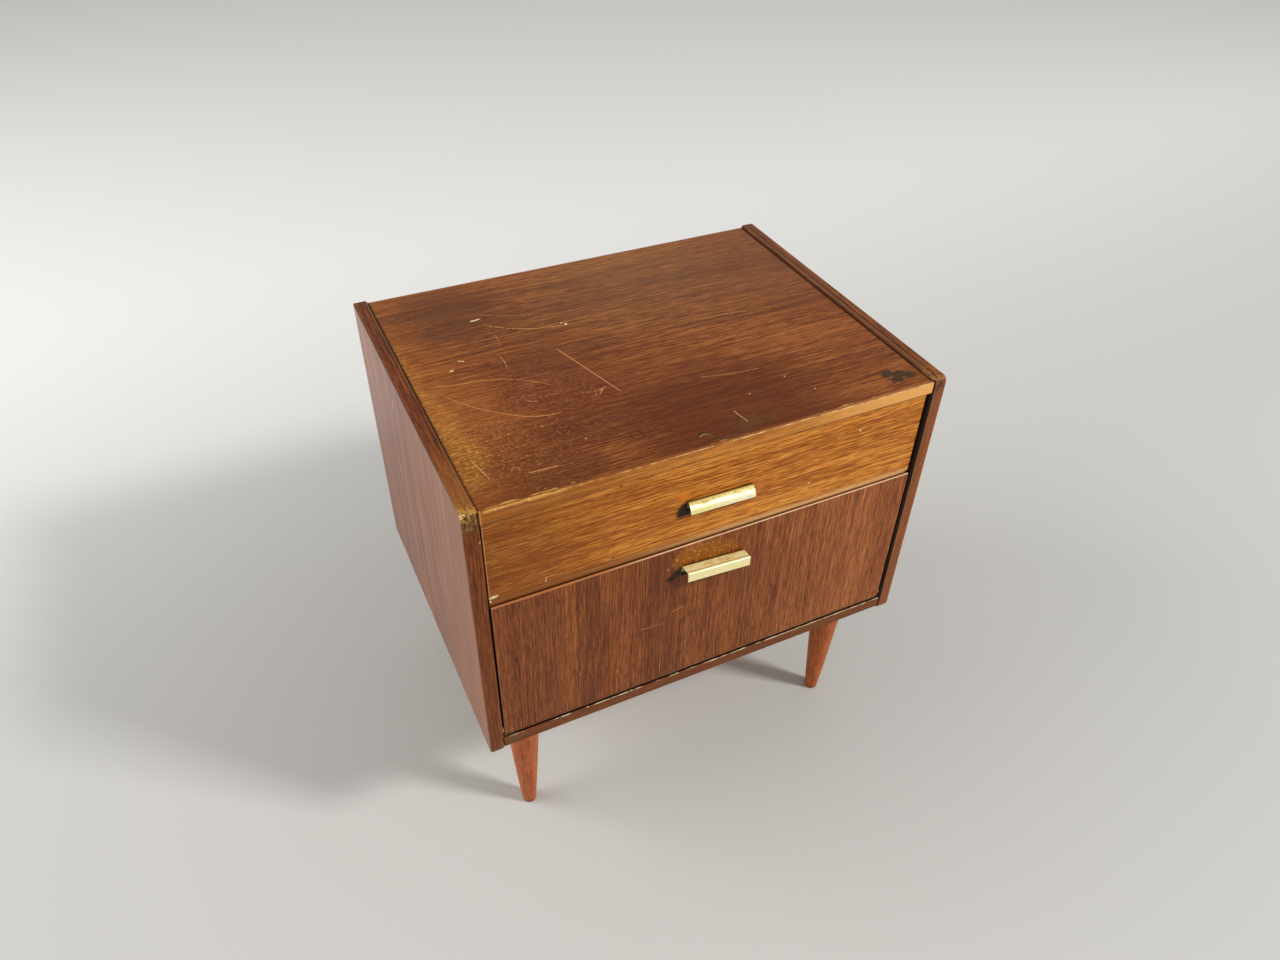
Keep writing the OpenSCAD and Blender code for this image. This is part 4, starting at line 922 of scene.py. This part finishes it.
def make_sides():
    """Side panels: one blank, rounded and chamfered, split into panel and lippings"""
    blank = block("side_blank", (INNER, FRONT, LOW), (OUTER, BACK, TOP))
    with bench(blank):
        bevel_where(lambda m, d: abs(d.x) > 0.9 and abs(m.y - FRONT) < 0.1, CORNER, 8)
        bevel_where(lambda m, d: abs(m.x - INNER) < 0.05 and abs(d.x) < 0.1 and m.y < BACK - 1
                    and (m.z > TOP - 0.05 or m.y < FRONT + CORNER - 0.1), INNER_CHAMFER, 1)
        bevel_where(lambda m, d: abs(m.x - OUTER) < 0.05 and abs(d.x) < 0.1, ARRIS)
        bevel_where(lambda m, d: abs(m.y - BACK) < 0.05 and abs(d.y) < 0.1, EASE)
    rabbeted(blank)
    mitre = (0, FRONT, TOP)
    front_cut, top_cut = (0, FRONT + LIPPING, 0), (0, 0, TOP - LIPPING)
    core = split(blank, "side_panel", (front_cut, (0, -1, 0)), (top_cut, (0, 0, 1)))
    band = split(blank, "side_front_lipping", (front_cut, (0, 1, 0)), (mitre, (0, 1, 1)))
    rail = split(blank, "side_top_lipping", (top_cut, (0, 0, -1)), (mitre, (0, -1, -1)))
    bpy.data.objects.remove(blank)
    for part, finish, slot, out in (
            (core, SIDE_VENEER, "side_veneer", []),
            (band, BAND_LIPPING, "dark_lipping", CORNER_CHIPS + BAND_CHIPS + LOW_CORNER_CHIPS),
            (rail, RAIL_LIPPING, "dark_lipping", CORNER_CHIPS)):
        name = part.name
        left = chipped(mirrored(part, name + "_left_finished"), out, 11)
        part.name = part.data.name = name + "_right_finished"
        fitted(left, "carcass", slot, finish, name + "_left")
        fitted(part, "carcass", slot, finish, name + "_right")


def make_boards():
    """Top and bottom boards and their lippings"""
    low, high = TOP_BOARD
    top = block("top_board_finished", (-INNER, BOARD_FRONT + LIPPING, low), (INNER, BACK, high))
    with bench(top):
        bevel_where(lambda m, d: abs(m.z - high) < 0.05 and abs(d.y) > 0.9, END_CHAMFER, 1)
        bevel_where(lambda m, d: abs(m.y - BACK) < 0.05 and abs(d.x) > 0.5, EASE)
    fitted(rabbeted(top), "carcass", "top_veneer", TOP_VENEER, "top_board")

    low, high = BOTTOM_BOARD
    bottom = block("bottom_board_finished", (-INNER, BOARD_FRONT + LIPPING, low),
                   (INNER, BACK, high))
    with bench(bottom):
        bevel_where(lambda m, d: abs(m.y - BACK) < 0.05, EASE)
    fitted(rabbeted(bottom), "carcass", "inner_board", INNER_BOARD, "bottom_board")

    for name, (low, high), finish, slot, out in (
            ("top_board_lipping", TOP_BOARD, TOP_LIPPING, "light_lipping", TOP_CHIPS),
            ("bottom_board_lipping", BOTTOM_BOARD, BOTTOM_LIPPING, "dark_lipping",
             BOTTOM_CHIPS)):
        strip = block(name + "_finished", (-INNER, BOARD_FRONT, low),
                      (INNER, BOARD_FRONT + LIPPING, high))
        with bench(strip):
            bevel_where(lambda m, d: abs(m.y - BOARD_FRONT) < 0.05 and abs(d.x) > 0.9, ARRIS)
            if name.startswith("top"):
                bevel_where(lambda m, d: abs(m.z - high) < 0.05 and abs(d.y) > 0.9,
                            END_CHAMFER, 1)
        fitted(chipped(strip, out, 21), "carcass", slot, finish, name)


def turned(name, profile, steps):
    """A turned piece on the Z axis: (radius, height) from its top to its foot"""
    piece = outline(name, [(r, 0, z) for r, z in profile], "NOTHING")
    with bench(piece):
        mesh = bmesh.from_edit_mesh(piece.data)
        mesh.verts.ensure_lookup_table()
        closing = mesh.edges.get((mesh.verts[0], mesh.verts[len(profile) - 1]))
        closing.select_set(True)
        bmesh.update_edit_mesh(piece.data)
        bpy.ops.mesh.delete(type="EDGE")
        bpy.ops.mesh.select_all(action="SELECT")
        bpy.ops.mesh.spin(steps=steps, angle=2 * math.pi, center=(0, 0, 0), axis=(0, 0, 1))
        whole()
    return piece


def make_panel_pins():
    """Small round heads of the pins that hold the back panel"""
    pin = turned("pin", [(0, 0.5), (0.6, 0.46), (1.1, 0.3), (1.4, 0)], 16)
    placed(pin, turn=(-90, 0, 0))
    places = [(x, z) for x in (-245, -147, -49, 49, 147, 245) for z in (211, 522)]
    places += [(x, z) for x in (-248, 248) for z in (290, 366, 442)]
    pins = [placed(copied(pin, "pin"), (x, BACK - 1, z)) for x, z in places]
    bpy.data.objects.remove(pin)
    fitted(joined(pins, "back_panel_pins"), "carcass", "steel", STEEL)


def make_legs():
    """Turned tapered legs with a faint swell, a broken upper arris and a rounded foot"""
    profile, steps = [(0, LEG_H), (LEG_TOP - 0.5, LEG_H), (LEG_TOP, LEG_H - 0.5)], 24
    for i in range(1, steps + 1):
        u = i / steps
        profile.append((LEG_TOP + (LEG_FOOT - LEG_TOP) * u + 4 * LEG_SWELL * u * (1 - u),
                        LEG_H + (LEG_ROUND - LEG_H) * u))
    for a in range(15, 91, 15):
        r = math.radians(a)
        profile.append((LEG_FOOT - LEG_ROUND * (1 - math.cos(r)) / 2,
                        LEG_ROUND - LEG_ROUND * math.sin(r)))
    profile.append((0, 0))
    pattern = turned("leg", profile, 64)
    for name, (x, y) in LEGS.items():
        leg = placed(copied(pattern, name + "_finished"), (x, y, 0))
        fitted(leg, "carcass", "stained_beech", STAINED_BEECH, name, angle=40)
    bpy.data.objects.remove(pattern)


# ---------------------------------------------------------------- drawer and flap

def make_fronts():
    """The drawer front with its lipping, and the flap"""
    for name, width, out, slot, finish in (
            ("drawer_front", 0.4, DRAWER_CHIPS, "drawer_veneer", DRAWER_VENEER),
            ("drawer_front_lipping", 0.5, DRAWER_CHIPS[:2], "light_lipping", DRAWER_LIPPING)):
        fitted(chipped(refined(name, width), out, 31), "drawer", slot, finish, name)
    flap = block("flap_finished", (-FLAP_SIDE, FLAP_FACE, FLAP_LOW),
                 (FLAP_SIDE, FLAP_BACK, FLAP_TOP))
    with bench(flap):
        bevel_where(lambda m, d: abs(d.x) > 0.9, 1.2, 4)
        bevel_where(lambda m, d: abs(abs(m.x) - FLAP_SIDE) < 0.05, EASE)
    fitted(flap, "flap", "flap_veneer", FLAP_VENEER, "flap")


def arc(centre, radius, start, end, steps):
    """Points of an arc in the (out, up) plane"""
    angles = [math.radians(start + (end - start) * i / steps) for i in range(steps + 1)]
    return [(centre[0] + radius * math.cos(a), centre[1] + radius * math.sin(a))
            for a in angles]


def folded_sheet(name, spine):
    """Sheet metal folded along a middle line in the (out, up) plane, with a rounded lip"""
    sides = ([], [])
    for i, (u, v) in enumerate(spine):
        (a, b), (c, d) = spine[max(i - 1, 0)], spine[min(i + 1, len(spine) - 1)]
        run = math.hypot(c - a, d - b)
        nu, nv = -(d - b) / run * SHEET / 2, (c - a) / run * SHEET / 2
        sides[0].append((u + nu, v + nv))
        sides[1].append((u - nu, v - nv))
    (u, v), (a, b) = spine[-1], spine[-2]
    way = math.degrees(math.atan2(v - b, u - a))
    lip = arc((u, v), SHEET / 2, way + 90, way - 90, 6)[1:-1]
    points = sides[0] + lip + sides[1][::-1]
    sheet = outline(name, [(-PULL_L / 2, -out, up) for out, up in points])
    with bench(sheet, "FACE", "SELECT"):
        bpy.ops.mesh.extrude_region_move(TRANSFORM_OT_translate={"value": (PULL_L * MM, 0, 0)})
        whole()
    with bench(sheet):
        bevel_where(lambda m, d: abs(abs(m.x) - PULL_L / 2) < 0.01, 0.25)
    return sheet


def round_screw():
    """A slotted round-head screw whose head rests on the XZ plane and faces the front"""
    profile = [(0, 2), (0.9, 1.93), (1.8, 1.62), (2.6, 1.05), (3.1, 0.45), (3.3, 0),
               (1.75, 0), (1.75, -9.4), (0, -10.2)]
    screw = turned("screw", profile, 32)
    cut(screw, block("slot", (-4, -0.45, 0.95), (4, 0.45, 3)))
    return placed(screw, turn=(90, 0, 0))


def make_pulls():
    """The hood on the drawer and the flat-topped fold on the flap, with their screws"""
    flange, (out, up) = [(SHEET / 2, -14), (SHEET / 2, -8)], (SHEET / 2 + FOLD, -2)
    away, rise = math.radians(55), math.radians(6)
    centre = (out - HOOD_R * math.cos(away), up - HOOD_R * math.sin(away))
    hood = flange + arc((out, up), FOLD, 180, 55, 8)
    hood += arc(centre, HOOD_R + FOLD, 55, 15, 16)[1:]
    edge = (out + LEDGE_L * math.cos(rise), up + LEDGE_L * math.sin(rise))
    ledge = flange + arc((out, up), FOLD, 180, 96, 6) + arc(edge, FOLD, 96, 6, 6)
    out, up = ledge[-1]
    ledge.append((out + LIP_L * math.sin(rise), up - LIP_L * math.cos(rise)))
    screw = round_screw()
    for name, spine, (place, tilt), body in (("drawer_pull", hood, DRAWER_PULL, "drawer"),
                                             ("flap_pull", ledge, FLAP_PULL, "flap")):
        pull = placed(folded_sheet(name + "_finished", spine), place, (0, tilt, 0))
        fitted(pull, body, "pull_brass", PULL_BRASS, name)
        # Faces turned to the wood or downwards, and low ones by the wood, take the dark inside
        # finish: tarnish and painted shade
        pull.data.materials.append(TARNISH_AND_SHADE)
        for side in pull.data.polygons:
            middle, way = side.center / MM, side.normal
            hollow = way.y > 0.15 or way.z < -0.3
            if hollow or middle.y > place[1] - 1.4 and middle.z < place[2] - 6:
                side.material_index = 1
        pair = joined([placed(copied(screw, "screw"), (x, -SHEET, -SCREW_DROP), (0, turn, 0))
                       for x, turn in zip(PULL_SCREWS, (25, -60))], name + "_screws_finished")
        fitted(placed(pair, place, (0, tilt, 0)), body, "brass", BRASS, name + "_screws")
    bpy.data.objects.remove(screw)


# ---------------------------------------------------------------- fittings and inner pieces

def slotted(node, body, heads):
    """Flat screws with slots: where each head lies, the way it faces and its turn"""
    screws = refined(node, 0.12, 1)
    for place, facing, turn in heads:
        slot = block("slot", (-4.5, -0.4, -0.8), (4.5, 0.4, 0.8))
        way = Vector(facing).to_track_quat("Z", "Y").to_matrix().to_4x4()
        slot.matrix_world = (Matrix.Translation(Vector(place) * MM) @ way
                             @ Matrix.Rotation(math.radians(turn), 4, "Z"))
        cut(screws, fixed("slot"))
    fitted(screws, body, "steel", STEEL, node)


def make_fittings():
    """The drawer's box, its runners, the back and the fittings, from the CAD nodes"""
    for body, slot, finish, widths in (
            ("carcass", "inner_board", INNER_BOARD, {"shelf": 0.3}),
            ("carcass", "hardboard", HARDBOARD, {"back_panel": 0.3}),
            ("carcass", "beech", BEECH_ALONG,
             {"drawer_runner_left": 0.5, "drawer_runner_right": 0.5, "drawer_stops": 0.5}),
            ("drawer", "beech", BEECH_ALONG, {"drawer_side_left": 0.35,
                                              "drawer_side_right": 0.35}),
            ("drawer", "beech", BEECH_ACROSS, {"drawer_back": 0.5}),
            ("drawer", "hardboard", HARDBOARD, {"drawer_bottom": 0.2}),
            ("carcass", "steel", STEEL, {"leg_nuts": 0.3, "stay_wall_pin": 0.35,
                                         "catch_poles": 0.2}),
            ("carcass", "brass", BRASS, {"flap_bushes": 0.25}),
            ("stay", "brass", BRASS, {"stay_arm": 0.2}),
            ("flap", "brass", BRASS, {"stay_bracket": 0.2}),
            ("flap", "steel", STEEL, {"stay_rivet": 0.5, "catch_strike": 0.25}),
            ("carcass", "catch_plastic", PLASTIC, {"catch_case": 0.5})):
        for node, width in widths.items():
            fitted(refined(node, width), body, slot, finish, node)

    slotted("runner_screws", "carcass", [
        ((side * RUNNER_FACE, y, RUNNER_Z), (-side, 0, 0), turn)
        for side in (-1, 1) for y, turn in zip(RUNNER_SCREWS, (20, 75, 140))])
    slotted("catch_screws", "carcass", [((x, *CATCH_EARS), (0, 0, -1), turn)
                                        for x, turn in ((-21.5, 35), (21.5, 110))])
    slotted("catch_strike_screws", "flap", [((x, *STRIKE), (0, 1, 0), turn)
                                            for x, turn in ((-8.5, 15), (8.5, 80))])
    slotted("stay_bracket_screws", "flap", [
        ((INNER - 17.8, FLAP_BACK + 1.6, STAY_Z + rise), (0, 1, 0), turn)
        for rise, turn in ((-11.7, 50), (11.7, 165))])
    for node, finish in (("dowels", BEECH_ACROSS), ("leg_studs", STEEL),
                         ("flap_pivot_pins", STEEL)):
        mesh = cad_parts[node].data
        mesh.materials.clear()
        mesh.materials.append(finish)


make_sides()
make_boards()
make_panel_pins()
make_legs()
make_fronts()
make_pulls()
make_fittings()


# ---------------------------------------------------------------- studio

def make_studio():
    """A plain pale floor, soft light from above and from the front right, the camera"""
    take()
    bpy.ops.mesh.primitive_plane_add(size=16, location=(0, 0, 0))
    floor = fixed("studio_floor")
    paint = Finish("floor_paint")
    paint.colour = paint.mix(paint.step(paint.y, 100, 1500), tone(197, 196, 192),
                             tone(232, 232, 230))
    floor.data.materials.append(paint.close(0.85, specular=0.2))

    scene = bpy.context.scene
    scene.world = bpy.data.worlds.new("studio")
    scene.world.use_nodes = True
    sky = scene.world.node_tree.nodes["Background"]
    sky.inputs["Color"].default_value = (1, 0.99, 0.97, 1)
    sky.inputs["Strength"].default_value = 0.46

    for name, place, size, power in (("key", (3.0, -2.9, 3.8), 0.8, 190),
                                     ("fill", (-2.9, 1.0, 2.2), 2.4, 75)):
        lamp = bpy.data.lights.new(name, "AREA")
        lamp.shape, lamp.size, lamp.energy = "SQUARE", size, power
        holder = bpy.data.objects.new(name, lamp)
        scene.collection.objects.link(holder)
        holder.location = place
        aim = Vector((0, 0, 0.35)) - Vector(place)
        holder.rotation_euler = aim.to_track_quat("-Z", "Y").to_euler()
        holder.visible_camera = False

    # The camera solved from the corners of the cabinet in the photo
    view = bpy.data.cameras.new("camera")
    view.lens, view.sensor_width = 27.093, 36
    camera = bpy.data.objects.new("camera", view)
    scene.collection.objects.link(camera)
    camera.location = (-0.40258822, -0.80795694, 1.09911382)
    camera.rotation_euler = (0.873576, -0.020549, -0.44916)
    scene.camera = camera
    scene.view_settings.view_transform = "Standard"


make_studio()
